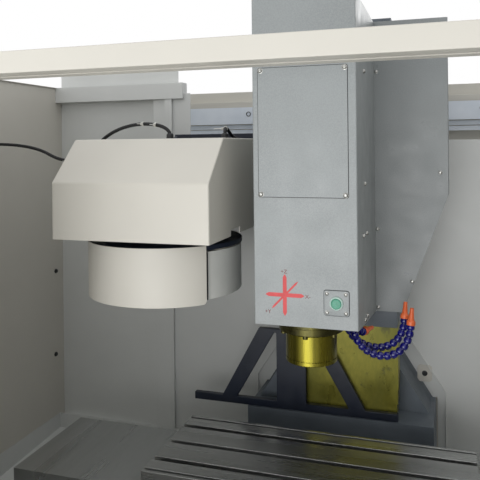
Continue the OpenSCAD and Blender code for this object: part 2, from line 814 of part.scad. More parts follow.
module cover_screws() placed() color(steel) {
    front = -cover_front;
    for (x = [-1, 1], z = [0, 1]) {
        translate([panel_x + x * (panel_w / 2 - 6), front - 2, panel_z + 6 + z * (panel_h - 12)])
            cap_screw(11);
        translate([button_x + x * (button_plate_w / 2 - 7), front - 3,
            button_z + (z - 0.5) * (button_plate_w - 14)]) cap_screw(8);
    }
    for (p = [[-19, 206], [47, 204], [16, 332], [14, 614], [-3, -5], [43, -6]])
        translate([cover_x1, p[0], cover_low + p[1]]) rotate(90) cap_screw(11);
    for (p = wing_screws) translate([cover_x1 + p[0], wing_y, cover_low + p[1]]) cap_screw(9);
}

module coolant_manifold() placed() color(black) {
    difference() {
        span([manifold_x - 22, 62, nose_low - 24], [manifold_x + 26, 132, nose_low]);
        rod_y(61, 133, manifold_x + 2, nose_low - 12, 8);
    }
}

function bezier(c, t) =
    c[0] * pow(1 - t, 3) + 3 * c[1] * t * pow(1 - t, 2) + 3 * c[2] * pow(t, 2) * (1 - t) + c[3] * pow(t, 3);

function run_to(c, n, steps) =
    n == 0 ? 0 : run_to(c, n - 1, steps) + norm(bezier(c, n / steps) - bezier(c, (n - 1) / steps));

// Turns +Z to the direction v
module aim(v) {
    rotate([0, acos(v[2] / norm(v)), atan2(v[1], v[0])]) children();
}

function hose_table(c) = [for (i = [0 : 32]) [run_to(c, i, 32), i / 32]];

function link_count(c) = round(run_to(c, 32, 32) / link_pitch);

// Children at the middle of link k of a hose, with +Z along it
module at_link(c, k) {
    t = lookup((k + 0.5) * run_to(c, 32, 32) / link_count(c), hose_table(c));
    translate([0, 0, nose_h]) translate(bezier(c, t))
        aim(bezier(c, t + 0.01) - bezier(c, t - 0.01)) children();
}

// Ball-and-socket link; its neck reaches into the one before
module hose_link(neck) {
    neck_r = link_d * 0.29;
    rotate_extrude($fn = 20) polygon([
        [0, -link_pitch * neck], [neck_r, -link_pitch * neck], [neck_r, -link_pitch * 0.36],
        [link_d * 0.42, -link_pitch * 0.36], [link_d / 2, -link_pitch * 0.16],
        [link_d / 2, link_pitch * 0.14], [link_d * 0.41, link_pitch / 2], [0, link_pitch / 2]
    ]);
}

module coolant_hoses() placed() color([0.05, 0.08, 0.5]) {
    for (c = hose_curves) {
        for (k = [0 : link_count(c) - 1]) at_link(c, k) hose_link(k > 0 ? 0.8 : 0.5);
        // spigot under the manifold
        rod_z(nose_h + hose_top - spigot_h - 0.9, nose_h + hose_top, c[0][0], c[0][1], link_d * 0.68);
    }
}

// Nozzle in line with the last link of each hose, with a collar over the link's end
module coolant_nozzles() placed() color([0.95, 0.42, 0.15]) {
    end_r = link_d * 0.41;
    collar_r = end_r + link_d * 0.25 * 3 / link_pitch;
    for (c = hose_curves) at_link(c, link_count(c) - 1) translate([0, 0, link_pitch / 2])
        rotate_extrude($fn = 20) polygon([
            [0, 0], [end_r, 0], [collar_r, -3], [11.5, -3], [11.5, 6.6], [7.5, 10.6], [4.5, 40.6], [0, 40.6]
        ]);
}

// Tool magazine: the fixed arm and cover, the sliding drum with its shutter, and the tool disc

module magazine_arm() placed() color(dark_blue) {
    beam_y = throat + 12;
    plate_x = mag_cover_w / 2 - sheet;
    // beam from the column's flank, with its flange
    span([-mag_x - plate_x + 20, beam_y, arm_low + 48], [-column_w / 2, beam_y + 110, arm_low + 158]);
    span([-column_w / 2 - 18, beam_y - 6, arm_low], [-column_w / 2, beam_y + 120, arm_low + 190]);
    // plate over the drum, narrower where the head's wing passes
    span([-mag_x - plate_x, -mag_slant_d + 20, arm_low],
        [-mag_x + plate_x, mag_cover_back - 8, arm_low + plate_t]);
    span([-mag_x - plate_x + 20, mag_cover_back - 9, arm_low],
        [-mag_x + plate_x - 22, beam_y + 110, arm_low + plate_t]);
    for (x = [20 - plate_x, plate_x - 34]) along_x(x - mag_x, x - mag_x + plate_t) polygon([
        [-60, arm_low + plate_t], [beam_y + 10, arm_low + plate_t], [beam_y + 10, arm_low + 158],
        [beam_y - 60, arm_low + 120], [60, arm_low + 90]
    ]);
    // rails under the plate
    for (y = [-1, 1]) along_x(-mag_x - plate_x + 4, -mag_x + plate_x - 4)
        translate([y * mag_rail_y, arm_low]) mirror([0, 1]) rail_outline();
}

// The cover's outline, seen along X
module mag_cover_side(inset) {
    polygon([
        [inset - mag_cover_front, mag_low - 2 * inset], [inset - mag_cover_front, fold_z - inset * 0.6],
        [mag_slant_d - mag_cover_front + inset * 0.5, mag_top - inset],
        [mag_cover_back + 2 * inset, mag_top - inset],
        [mag_cover_back + 2 * inset, mag_low - 2 * inset]
    ]);
}

module magazine_cover() placed() color(cream) {
    x0 = -mag_x - mag_cover_w / 2;
    x1 = -mag_x + mag_cover_w / 2;
    difference() {
        along_x(x0, x1) mag_cover_side(0);
        along_x(x0 + sheet, x1 - sheet) mag_cover_side(sheet);
        span([x1 - sheet - 1, -70, mag_low - 1], [x1 + 1, 4, mag_low + 16]);
    }
    // cable glands on the top
    for (p = gland_places) rod_z(mag_top, mag_top + 12, p[0], p[1], 20);
}

// Tube swept along a list of points
module tube(points, d, sides) {
    n = len(points);
    dirs = [for (i = [0 : n - 1]) points[min(i + 1, n - 1)] - points[max(i - 1, 0)]];
    rings = [for (i = [0 : n - 1]) let (
            w = dirs[i] / norm(dirs[i]),
            s = cross(w, [0.05, 0, 1]),
            u = s / norm(s),
            v = cross(u, w)
        ) each [for (a = [0 : 360 / sides : 359]) points[i] + d / 2 * (cos(a) * u + sin(a) * v)]];
    sides_faces = [for (i = [0 : n - 2], k = [0 : sides - 1]) let (j = (k + 1) % sides)
        [i * sides + k, i * sides + j, (i + 1) * sides + j, (i + 1) * sides + k]];
    polyhedron(rings, concat(
        [[for (k = [sides - 1 : -1 : 0]) k]], sides_faces, [[for (k = [0 : sides - 1]) (n - 1) * sides + k]]
    ), convexity = 6);
}

// Points along curves that follow one another, n steps on each
function run_points(run, n) = concat(
    [run[0][0], run[0][0] + [0, 0, 3]], [for (c = run, i = [1 : n]) bezier(c, i / n)]
);

module cable_conduits() placed() color(black) {
    for (run = conduit_curves) translate([0, 0, mag_top]) tube(run_points(run, 8), 11, 10);
}

module magazine_carriage() placed() color(dark_blue) translate([-mag_x, 0, 0]) {
    difference() {
        union() {
            rod_z(skirt_top - plate_t, skirt_top, 0, 0, 2 * (skirt_r - skirt_t) - 0.6);
            rod_z(skirt_top - plate_t - 12, skirt_top, 0, 0, 80);
        }
        rod_z(skirt_top - 40, skirt_top + 1, 0, 0, hub_d + 2 * shaft_gap);
    }
    // indexing gearbox with its motor
    difference() {
        union() {
            rod_z(skirt_top, skirt_top + 62, 0, 0, 170);
            rod_z(skirt_top + 62, arm_low - 20, 0, 0, 96);
        }
        rod_z(skirt_top - 1, skirt_top + 30, 0, 0, hub_d + 2 * shaft_gap);
    }
    // hangers up to the blocks on the rails
    for (y = [-1, 1]) {
        span([-110, y * mag_rail_y - 8, skirt_top], [110, y * mag_rail_y + 8, arm_low - way_h]);
        for (x = [-110, 110 - 80]) along_x(x, x + 80)
            translate([y * mag_rail_y, arm_low]) mirror([0, 1]) block_outline();
    }
}

// Ring with outer radius r and wall t
module ring(r, t, h) {
    linear_extrude(h) difference() {
        circle(r, $fn = 128);
        circle(r - t, $fn = 128);
    }
}

// Wedge to both sides of +X
module wedge(r, half, h) {
    linear_extrude(h)
        polygon([[0, 0], [2 * r * cos(half), 2 * r * sin(half)], [2 * r * cos(half), -2 * r * sin(half)]]);
}

module magazine_skirt() placed() color(cream) translate([-mag_x, 0, skirt_low]) difference() {
    union() {
        ring(skirt_r, skirt_t, skirt_h);
        // rolled lip along the lower edge
        ring(skirt_r, 8, 2);
    }
    translate([0, 0, -1]) wedge(skirt_r, shutter_half, skirt_h + 2);
}

module magazine_shutter() placed() color(cream) translate([-mag_x, 0, skirt_low + 10]) {
    h = skirt_h - plate_t - 14;
    intersection() {
        union() {
            ring(shutter_r, skirt_t, h);
            translate([0, 0, h - 4]) ring(shutter_r, shutter_r - 50, 4);
        }
        wedge(shutter_r, shutter_half - 1, h);
    }
    translate([0, 0, h - 4]) ring(54, 13.4, 4);
}

module tool_disc() placed() color(steel) translate([-mag_x, 0, 0]) difference() {
    union() {
        rod_z(disc_z, disc_z + disc_t, 0, 0, 2 * (pocket_r - 20));
        rod_z(disc_z + disc_t - 1, skirt_top - plate_t - 20, 0, 0, 76);
        rod_z(disc_z, skirt_top + 29, 0, 0, hub_d);
    }
    for (i = [0 : gripper_n - 1]) rotate((i + 0.5) * 360 / gripper_n)
        rod_z(disc_z - 1, disc_z + disc_t + 1, pocket_r * 0.6, 0, 26);
}

module tool_grippers() placed() color(black) translate([-mag_x, 0, disc_z - 14]) {
    fork_r = 36;
    for (i = [0 : gripper_n - 1]) rotate(i * 360 / gripper_n) linear_extrude(14) difference() {
        union() {
            translate([pocket_r, 0]) circle(fork_r);
            translate([pocket_r - 62, -16]) square([40, 32]);
        }
        translate([pocket_r, 0]) circle(fork_r - 9);
        polygon([[pocket_r + 4, 0], [pocket_r + 60, 44], [pocket_r + 60, -44]]);
    }
}

// Enclosure

// Half of the splash wall, right of the column
module wall_half() {
    foot_half = column_w / 2 + foot_spread + wall_gap;
    step_x = half_w * 0.5;
    low = sill_h - 270;
    inner = column_w / 2 + wall_gap;
    foot = pan_high + 2;
    union() {
        // plane around the column
        along_y(rear_y, rear_y + panel_t) polygon([
            [max(foot_half, bed_w / 2 + wall_gap), low], [recess_x, low], [recess_x, wall_top - 40],
            [step_x, wall_top - 40], [step_x, nose_h + 560], [inner, nose_h + 560],
            [inner, deck_top + foot_spread * 1.5 + wall_gap], [foot_half, deck_top],
            [max(foot_half, bed_w / 2 + wall_gap), deck_top]
        ]);
        // recessed plane with its return
        span([recess_x, rear_y + 26, low], [half_w - panel_t, rear_y + 26 + panel_t, wall_top - 40]);
        span([recess_x - panel_t, rear_y, low], [recess_x, rear_y + 28, wall_top - 40]);
        // channel along the top, and the upright fold
        span([step_x + 25, rear_y - 16, wall_top - 60], [half_w - panel_t, rear_y + 28, wall_top]);
        span([step_x + 72, rear_y - 12, foot], [step_x + 100, rear_y, wall_top - 60]);
        // taller sheet behind the channel
        span([step_x + 60, rear_y + 28, wall_top - 70],
            [half_w - panel_t, rear_y + 28 + panel_t, wall_top + 60]);
        // hem along the cut-out
        along_y(rear_y - 6, rear_y) polygon([
            [foot_half + 40, foot], [foot_half + 43, foot], [foot_half + 43, deck_top + 20],
            [inner + 43, deck_top + 20 + foot_spread * 1.5], [inner + 40, deck_top + 20 + foot_spread * 1.5],
            [foot_half + 40, deck_top + 20]
        ]);
    }
}

module rear_wall() placed() color(wall_grey) {
    wall_half();
    mirror([1, 0, 0]) wall_half();
}

// Right side panel: a sheet with folded edges and two stiffeners inside
module side_panel() {
    back = rear_y - 16;
    span([half_w - panel_t, panel_d - front_y, skirting_h], [half_w, rear_y + 28, wall_top]);
    span([side_fold, panel_d - front_y, wall_top - panel_t], [half_w - panel_t, back, wall_top]);
    span([side_fold, panel_d - front_y, skirting_h], [half_w - panel_t, back, skirting_h + panel_t]);
    for (y = [-0.3, 0.3])
        span([side_fold, y * front_y, sill_h], [half_w - panel_t, y * front_y + 40, wall_top - panel_t]);
}

module side_panel_left() placed() color(cream) mirror([1, 0, 0]) side_panel();

module side_panel_right() placed() color(cream) side_panel();

// Folded tray that is open to the back, between two corners of the front
module front_tray(x0, x1, z0, z1) {
    difference() {
        span([x0, -front_y, z0], [x1, panel_d - front_y, z1]);
        span([x0 + panel_t, panel_t - front_y, z0 + panel_t],
            [x1 - panel_t, panel_d + 1 - front_y, z1 - panel_t]);
    }
}

module front_panel_left() placed() color(cream) {
    front_tray(-half_w, -doorway_w / 2, sill_h, header_low);
}

module front_panel_right() placed() color(cream) {
    front_tray(doorway_w / 2, half_w, sill_h, header_low);
    // hinge lugs of the control box
    for (z = hinge_heights) {
        span([hinge_x - 12, -hinge_y, z], [hinge_x + 12, -front_y, z + 24]);
        rod_z(z, z + 24, hinge_x, -hinge_y, 24);
        rod_z(z + 23, z + 52, hinge_x, -hinge_y, 12);
    }
}

module front_apron() placed() color(cream) {
    front_tray(-half_w, half_w, skirting_h, sill_h - 4);
    // sill with the groove that guides the doors
    difference() {
        span([panel_t - half_w, -front_y, sill_h - 4], [half_w - panel_t, door_t + 12 - door_y, sill_h]);
        span([-half_w + 6, door_mid - groove_w / 2, sill_h - 5],
            [half_w - 6, door_mid + groove_w / 2, sill_h + 1]);
    }
}

module header_beam() placed() color(cream) {
    difference() {
        span([panel_t - half_w, -front_y, header_low], [half_w - panel_t, header_d - front_y, header_top]);
        // track of the doors
        span([-half_w + 6, door_mid - track_w / 2, header_low - 1],
            [half_w - 6, door_mid + track_w / 2, header_low + 26]);
    }
}

// Left door leaf in its open place
module door_leaf() {
    x0 = -half_w + 4;
    x1 = x0 + door_w;
    mid = (x0 + x1) / 2;
    hanger_w = track_w - 2 * slide_gap;
    guide_w = groove_w - 2 * slide_gap;
    difference() {
        span([x0, -door_y, door_low], [x1, door_t - door_y, door_high]);
        span([mid - window_w / 2, -door_y - 1, window_z],
            [mid + window_w / 2, door_t + 1 - door_y, window_z + window_h]);
        span([mid - window_w / 2 - 12, door_t / 2 - door_y - 4.2, window_z - 12],
            [mid + window_w / 2 + 12, door_t / 2 - door_y + 4.2, window_z + window_h + 12]);
        // flush pull at the leading edge
        span([x1 - 62, -door_y - 1, door_low + 240], [x1 - 26, 14 - door_y, door_low + 460]);
    }
    // hangers in the track and guides in the groove
    for (x = [x0 + 60, x1 - 100]) {
        span([x, door_mid - hanger_w / 2, door_high], [x + 40, door_mid + hanger_w / 2, header_low + 22]);
        span([x, door_mid - guide_w / 2, sill_h - 3], [x + 40, door_mid + guide_w / 2, door_low]);
    }
}

module pane() {
    mid = -half_w + 4 + door_w / 2;
    span([mid - window_w / 2 - 11.5, door_t / 2 - door_y - 4, window_z - 11.5],
        [mid + window_w / 2 + 11.5, door_t / 2 - door_y + 4, window_z + window_h + 11.5]);
}

module door_left() placed() color(cream) door_leaf();

module door_right() placed() color(cream) mirror([1, 0, 0]) door_leaf();

module window_left() placed() color([0.8, 0.88, 0.9, 0.5]) pane();

module window_right() placed() color([0.8, 0.88, 0.9, 0.5]) mirror([1, 0, 0]) pane();

// Trays that slope to the front on both sides of the base, with the spout over the tank
module chip_pans() placed() color(wall_grey) {
    pan_t = 3;
    for (s = [-1, 1]) {
        x0 = s > 0 ? bed_w / 2 : -half_w + panel_t;
        x1 = s > 0 ? half_w - panel_t : -bed_w / 2;
        difference() {
            along_x(x0, x1) polygon([
                [pan_front, pan_low], [pan_back, pan_low + pan_rise],
                [pan_back, pan_high], [pan_front, pan_high]
            ]);
            along_x(x0 + pan_t, x1 - pan_t) polygon([
                [pan_front + pan_t, pan_low + pan_t], [pan_back - pan_t, pan_low + pan_rise + pan_t],
                [pan_back - pan_t, pan_high + 1], [pan_front + pan_t, pan_high + 1]
            ]);
            if (s > 0) rod_z(pan_low - 60, pan_low + 60, drain_x, drain_y, drain_d - 6);
        }
    }
    difference() {
        rod_z(tank_h - 15, pan_low + 16, drain_x, drain_y, drain_d);
        rod_z(tank_h - 16, pan_low + 70, drain_x, drain_y, drain_d - 6);
    }
}

module coolant_tank() placed() color(wall_grey) {
    x0 = bed_w / 2 + 50;
    x1 = half_w - 40;
    pump_y = rear_y - 180;
    difference() {
        span([x0, 80 - front_y, 40], [x1, rear_y - 60, tank_h]);
        translate([drain_x, drain_y, tank_h - 30]) cylinder(h = 31, d = drain_d + 14);
    }
    for (x = [x0 + 60, x1 - 60], y = [150 - front_y, rear_y - 130]) {
        rod_z(22, 40, x, y, 60);
        rod_x(x - 14, x + 14, y, 22, 44);
    }
    // pump with its flange, and its riser under the chip tray
    rod_z(tank_h, tank_h + 12, x0 + 120, pump_y, 160);
    rod_z(tank_h + 12, pan_low - 30, x0 + 120, pump_y, 120);
    under_pan = pan_low + pan_rise * (pump_y - 20 - pan_front) / (pan_back - pan_front) - 0.3;
    rod_z(pan_low - 31, under_pan, x0 + 120, pump_y, 40);
}

// Electrical cabinet on the back of the column

module electrical_cabinet() placed() color(cream) {
    half = cabinet_w / 2;
    wall = 20;
    difference() {
        span([-half, cabinet_y, cabinet_low], [half, cabinet_y + cabinet_d, cabinet_high]);
        span([wall - half, cabinet_y + wall, cabinet_low + wall],
            [half - wall, cabinet_y + cabinet_d + 1, cabinet_high - wall]);
    }
    // cable trough along the front, and the lugs on the column
    span([-half, cabinet_y - 26, cabinet_high - 120], [half, cabinet_y, cabinet_high - 42]);
    for (x = [-1, 1], z = [0.15, 0.85])
        translate([x * (column_w / 2 - 30) - 30, bed_back, deck_top + z * (cabinet_high - 200 - deck_top)])
            cube([60, cabinet_y - bed_back, 60]);
    for (z = cabinet_hinges) {
        span([-half - 16, cabinet_y + cabinet_d - 30, z],
            [-half, cabinet_y + cabinet_d + door_sheet / 2, z + 30]);
        rod_z(z, z + 30, -half - 8, cabinet_y + cabinet_d + door_sheet / 2, 16);
        rod_z(z + 30, z + 62, -half - 8, cabinet_y + cabinet_d + door_sheet / 2, 8);
    }
}

module cabinet_equipment() placed() color([0.75, 0.76, 0.76]) {
    back = cabinet_y + 20;
    half = cabinet_w / 2 - 60;
    low = cabinet_low + 60;
    high = cabinet_high - 60;
    span([-half, back, low], [half, back + 4, high]);
    // servo drives, contactors on their rails, terminals, wiring ducts and a transformer
    for (i = [0 : 3])
        span([i * 110 - half + 60, back + 4, high - 440], [i * 110 - half + 150, back + 204, high - 80]);
    span([60, back + 4, high - 420], [240, back + 164, high - 80]);
    for (r = [0, 1]) {
        span([-half + 60, back + 4, low + 420 + r * 180], [half - 60, back + 12, low + 455 + r * 180]);
        for (i = [0 : 8]) span([i * 58 - half + 80, back + 12, low + 398 + r * 180],
            [i * 58 - half + 128, back + 92, low + 478 + r * 180]);
    }
    span([-half + 60, back + 4, low + 300], [half - 60, back + 64, low + 350]);
    span([half - 260, back + 4, low + 40], [half - 60, back + 174, low + 220]);
    span([-half + 60, back + 4, low + 60], [half - 320, back + 74, low + 120]);
}

module cabinet_door() placed() color(cream) {
    half = cabinet_w / 2;
    y0 = cabinet_y + cabinet_d;
    difference() {
        span([-half, y0 + 0.5, cabinet_low], [half, y0 + door_sheet, cabinet_high]);
        rod_y(y0 - 1, y0 + door_sheet + 1, switch_x, switch_z, 14 + 2 * shaft_gap);
        // louvres
        for (i = [0 : 6], x = [-half + 160, half - 400])
            span([x, y0 + door_sheet - 6, cabinet_low + 120 + i * 24],
                [x + 240, y0 + door_sheet + 1, cabinet_low + 130 + i * 24]);
    }
    for (z = cabinet_hinges) difference() {
        union() {
            rod_z(z + 30.3, z + 60, -half - 8, y0 + door_sheet / 2, 16);
            span([-half - 8, y0 + door_sheet / 2 - 1, z + 30.3],
                [-half + 4, y0 + door_sheet / 2 + 7, z + 60]);
        }
        rod_z(z + 30, z + 61, -half - 8, y0 + door_sheet / 2, 8.6);
    }
}

module main_switch() placed() color([0.75, 0.1, 0.08]) {
    y0 = cabinet_y + cabinet_d + door_sheet;
    rod_y(y0 - 18, y0 + 1, switch_x, switch_z, 14);
    rod_y(y0 + 0.4, y0 + 14, switch_x, switch_z, 64);
    span([switch_x - 9, y0 + 13, switch_z - 32], [switch_x + 9, y0 + switch_reach, switch_z + 32]);
}

// Control box on the right front panel, with what is pressed and turned on it

module control_box() placed() color([0.85, 0.85, 0.83]) {
    front = -box_front;
    x1 = box_x0 + box_w;
    difference() {
        union() {
            span([box_x0, front, box_z], [x1, -box_y, box_z + box_h]);
            rod_y(front - 5, front, stop_x, stop_z, 54);
            for (z = hinge_heights)
                span([x1 - 1, -hinge_y - 12, z + 24.4], [hinge_x + 12, -hinge_y + 12, z + 52]);
        }
        // display window and key field
        span([box_x0 + 50, front - 1, box_z + box_h - 270], [x1 - 90, front + 4, box_z + box_h - 50]);
        span([box_x0 + 50, front - 1, box_z + 180], [x1 - 40, front + 2, box_z + box_h - 290]);
        rod_y(front - 6, front + 24, stop_x, stop_z, 28 + 2 * shaft_gap);
        rod_y(front - 1, front + 16, knob_x, knob_z, 8 + 2 * shaft_gap);
        rod_y(front - 1, front + 16, start_x, start_z, 20 + 2 * shaft_gap);
        rod_y(front - 1, front + 16, wheel_x, wheel_z, 16 + 2 * shaft_gap);
        for (z = hinge_heights) rod_z(z + 24, z + 53, hinge_x, -hinge_y, 12.6);
    }
}

module emergency_stop() placed() color([0.8, 0.08, 0.06]) {
    rod_y(-box_front - 14, 12 - box_front, stop_x, stop_z, 28);
    rod_y(-box_front - 28, -box_front - 12, stop_x, stop_z, 40);
}

module handwheel() placed() color(black) {
    front = -box_front;
    rod_y(front - 1, front + 15, wheel_x, wheel_z, 16);
    rod_y(front - 20, front - 0.4, wheel_x, wheel_z, 80);
    rod_y(front - wheel_reach, front - 19, wheel_x + 24, wheel_z + 12, 16);
}

module override_knob() placed() color(black) {
    rod_y(-box_front - 1, 15 - box_front, knob_x, knob_z, 8);
    difference() {
        rod_y(-box_front - 20, -box_front - 0.4, knob_x, knob_z, 34);
        span([knob_x - 1.5, -box_front - 21, knob_z + 6], [knob_x + 1.5, -box_front - 18, knob_z + 18]);
    }
}

module start_button() placed() color([0.1, 0.55, 0.2]) {
    rod_y(-box_front - 6, 10 - box_front, start_x, start_z, 20);
}

base();
levelling_feet();
column();
servo_motors();
brace_frame();
way_covers_fixed();
rear_wall();
side_panel_left();
side_panel_right();
front_panel_left();
front_panel_right();
front_apron();
header_beam();
chip_pans();
coolant_tank();
electrical_cabinet();
cabinet_equipment();
cabinet_door();
main_switch();
magazine_arm();
magazine_cover();
cable_conduits();
magazine_carriage();
magazine_skirt();
magazine_shutter();
tool_disc();
tool_grippers();
saddle();
y_covers_saddle();
y_covers_middle();
x_servo_motor();
x_screw();
y_screw();
z_screw();
table();
x_way_covers();
headstock();
z_cover_upper();
z_cover_middle();
head_cover();
access_panel();
head_wings();
button_plate();
unclamp_button();
cover_screws();
spindle_housing();
spindle_shaft();
spindle_motor();
coolant_manifold();
coolant_hoses();
coolant_nozzles();
door_left();
door_right();
window_left();
window_right();
control_box();
emergency_stop();
handwheel();
override_knob();
start_button();
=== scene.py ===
"""Looks of a vertical machining centre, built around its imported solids."""

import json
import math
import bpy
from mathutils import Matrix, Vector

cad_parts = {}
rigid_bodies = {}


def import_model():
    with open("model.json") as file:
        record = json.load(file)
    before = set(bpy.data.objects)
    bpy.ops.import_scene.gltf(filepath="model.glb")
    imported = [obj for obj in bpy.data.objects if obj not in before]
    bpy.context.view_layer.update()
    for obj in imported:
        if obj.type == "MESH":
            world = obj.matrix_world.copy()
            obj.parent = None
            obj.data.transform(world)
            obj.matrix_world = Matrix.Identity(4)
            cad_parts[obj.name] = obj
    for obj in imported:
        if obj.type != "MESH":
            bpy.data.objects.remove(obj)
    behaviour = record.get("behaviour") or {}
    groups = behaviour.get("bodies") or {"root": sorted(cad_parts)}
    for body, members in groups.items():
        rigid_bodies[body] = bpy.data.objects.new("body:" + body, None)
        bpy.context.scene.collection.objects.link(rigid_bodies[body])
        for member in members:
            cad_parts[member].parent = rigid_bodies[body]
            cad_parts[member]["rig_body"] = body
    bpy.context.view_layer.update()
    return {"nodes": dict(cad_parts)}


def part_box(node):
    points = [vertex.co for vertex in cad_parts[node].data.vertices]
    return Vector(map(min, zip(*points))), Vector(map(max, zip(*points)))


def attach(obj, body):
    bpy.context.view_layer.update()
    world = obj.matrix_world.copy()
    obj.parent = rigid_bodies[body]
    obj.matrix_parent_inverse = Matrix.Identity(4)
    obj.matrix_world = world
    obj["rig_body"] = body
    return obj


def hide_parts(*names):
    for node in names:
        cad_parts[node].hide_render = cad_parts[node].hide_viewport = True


bl_info = {
    "name": "Machining centre",
    "version": (1, 0, 0),
    "blender": (4, 5, 0),
    "location": "View3D > Sidebar > Machining centre",
    "description": "Sheet covers, spindle, hoses, magazine and finishes of a vertical machining centre",
    "category": "Object",
}

import bpy
from mathutils import Matrix, Vector

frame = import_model()
MM = 0.001
DOWN, UP = Vector((0, 0, -1)), Vector((0, 0, 1))
FRONT, BACK, RIGHT = Vector((0, -1, 0)), Vector((0, 1, 0)), Vector((1, 0, 0))
# Distance at which doubled corners are merged, in metres
WELD = 1e-6
# Slope over which a face counts as facing along an axis
FACING = 0.7


def middle(node):
    """Middle of a solid's box."""
    low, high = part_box(node)
    return (low + high) / 2


AXIS = middle("spindle_housing")
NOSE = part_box("spindle_housing")[0].z


def at(x, y, z):
    """Point in millimetres from the spindle's axis and over its nose."""
    return Vector((AXIS.x + x * MM, AXIS.y + y * MM, NOSE + z * MM))


def stand(place, axis):
    """Matrix that stands a piece at a place, with its own height along an axis."""
    return Matrix.Translation(place) @ Vector(axis).to_track_quat("Z", "Y").to_matrix().to_4x4()


# Modelling by hand


def clear():
    """Object mode, with nothing selected."""
    if bpy.context.object and bpy.context.object.mode != "OBJECT":
        bpy.ops.object.mode_set(mode="OBJECT")
    bpy.ops.object.select_all(action="DESELECT")


def only(obj):
    """Selects one object and makes it active."""
    clear()
    obj.select_set(True)
    bpy.context.view_layer.objects.active = obj


def settle(obj):
    """Moves an object's place, turn and size into its mesh."""
    only(obj)
    bpy.ops.object.transform_apply(location=True, rotation=True, scale=True)
    return obj


def newest(name):
    """Names the primitive that was just added, and settles it."""
    obj = bpy.context.object
    obj.name = obj.data.name = name
    return settle(obj)


def pick(obj, kind, test):
    """Opens edit mode with only those faces, edges or corners selected that pass the test."""
    only(obj)
    bpy.ops.object.mode_set(mode="EDIT")
    bpy.ops.mesh.select_mode(type=kind)
    bpy.ops.mesh.select_all(action="DESELECT")
    bpy.ops.object.mode_set(mode="OBJECT")
    mesh = obj.data
    if kind == "FACE":
        for face in mesh.polygons:
            face.select = bool(test(face.center, face.normal))
    elif kind == "EDGE":
        for edge in mesh.edges:
            a, b = (mesh.vertices[i].co for i in edge.vertices)
            edge.select = bool(test(a, b))
    else:
        for corner in mesh.vertices:
            corner.select = bool(test(corner.co))
    bpy.ops.object.mode_set(mode="EDIT")


def edit_all(obj):
    """Opens edit mode with everything selected."""
    only(obj)
    bpy.ops.object.mode_set(mode="EDIT")
    bpy.ops.mesh.select_mode(type="VERT")
    bpy.ops.mesh.select_all(action="SELECT")


def leave():
    bpy.ops.object.mode_set(mode="OBJECT")


def close_up(obj):
    """Merges doubled corners and turns all faces outwards."""
    edit_all(obj)
    bpy.ops.mesh.remove_doubles(threshold=WELD)
    bpy.ops.mesh.normals_make_consistent(inside=False)
    leave()


def flip(obj):
    """Turns all faces round."""
    edit_all(obj)
    bpy.ops.mesh.flip_normals()
    leave()


def push(vector):
    bpy.ops.mesh.extrude_region_move(TRANSFORM_OT_translate={"value": vector})


def round_edges(obj, test, radius, segments=4):
    """Rounds the edges that pass the test."""
    pick(obj, "EDGE", test)
    bpy.ops.mesh.bevel(offset=radius, segments=segments, affect="EDGES")
    leave()


def open_up(obj):
    """Takes away the bottom and the back of a cover."""
    pick(obj, "FACE", lambda c, n: n.z < -FACING or n.y > FACING)
    bpy.ops.mesh.delete(type="FACE")
    leave()


def sink(obj, border, depth):
    """Sinks the front face inside a border."""
    pick(obj, "FACE", lambda c, n: n.y < -FACING)
    bpy.ops.mesh.inset(thickness=border, depth=-depth)
    leave()


def block(name, low, high):
    """Block between two opposite corners."""
    clear()
    low, high = Vector(low), Vector(high)
    bpy.ops.mesh.primitive_cube_add(size=1, location=(low + high) / 2, scale=high - low)
    return newest(name)


def drawn(name, points):
    """Chain of edges through the points."""
    clear()
    bpy.ops.mesh.primitive_plane_add(size=MM, location=points[0])
    obj = newest(name)
    edit_all(obj)
    bpy.ops.mesh.merge(type="CENTER")
    for a, b in zip(points, points[1:]):
        push(Vector(b) - Vector(a))
    leave()
    return obj


def filled(name, points):
    """Flat face inside an outline."""
    obj = drawn(name, [*points, points[0]])
    edit_all(obj)
    bpy.ops.mesh.remove_doubles(threshold=WELD)
    bpy.ops.mesh.edge_face_add()
    leave()
    return obj


def lathe(name, outline, place=(0, 0, 0), axis=UP, steps=48):
    """Spins an outline of (radius, height) points, in metres, and stands it at place along axis."""
    obj = drawn(name, [Vector((r, 0, h)) for r, h in outline])
    edit_all(obj)
    bpy.ops.mesh.spin(steps=steps, angle=math.tau, center=(0, 0, 0), axis=(0, 0, 1))
    close_up(obj)
    obj.matrix_world = stand(place, axis)
    return settle(obj)


def turned(name, outline, place=(0, 0, 0), axis=UP, steps=48):
    """The same from an outline in millimetres."""
    return lathe(name, [(r * MM, h * MM) for r, h in outline], place, axis, steps)


def face_away(obj, centre):
    """Turns an open shell's faces away from an upright line through centre."""
    faces = obj.data.polygons
    total = sum((f.center - centre).dot(Vector((f.normal.x, f.normal.y, 0))) * f.area for f in faces)
    if total < 0:
        flip(obj)


def modify(obj, kind, **values):
    """Adds a modifier and applies it."""
    only(obj)
    modifier = obj.modifiers.new("Work", kind)
    for key, value in values.items():
        setattr(modifier, key, value)
    bpy.ops.object.modifier_apply(modifier=modifier.name)
    return obj


def smooth(obj, angle=35.0):
    """Smooths the shading over edges less sharp than the angle."""
    only(obj)
    bpy.ops.object.shade_smooth_by_angle(angle=math.radians(angle))
    return modify(obj, "WEIGHTED_NORMAL", keep_sharp=True, weight=60)


def soften(obj, width, segments=2, angle=35.0):
    """Rounds the sharp edges and smooths the shading between them."""
    modify(obj, "BEVEL", width=width, segments=segments, limit_method="ANGLE",
           angle_limit=math.radians(angle), use_clamp_overlap=True, miter_outer="MITER_ARC")
    return smooth(obj, angle)


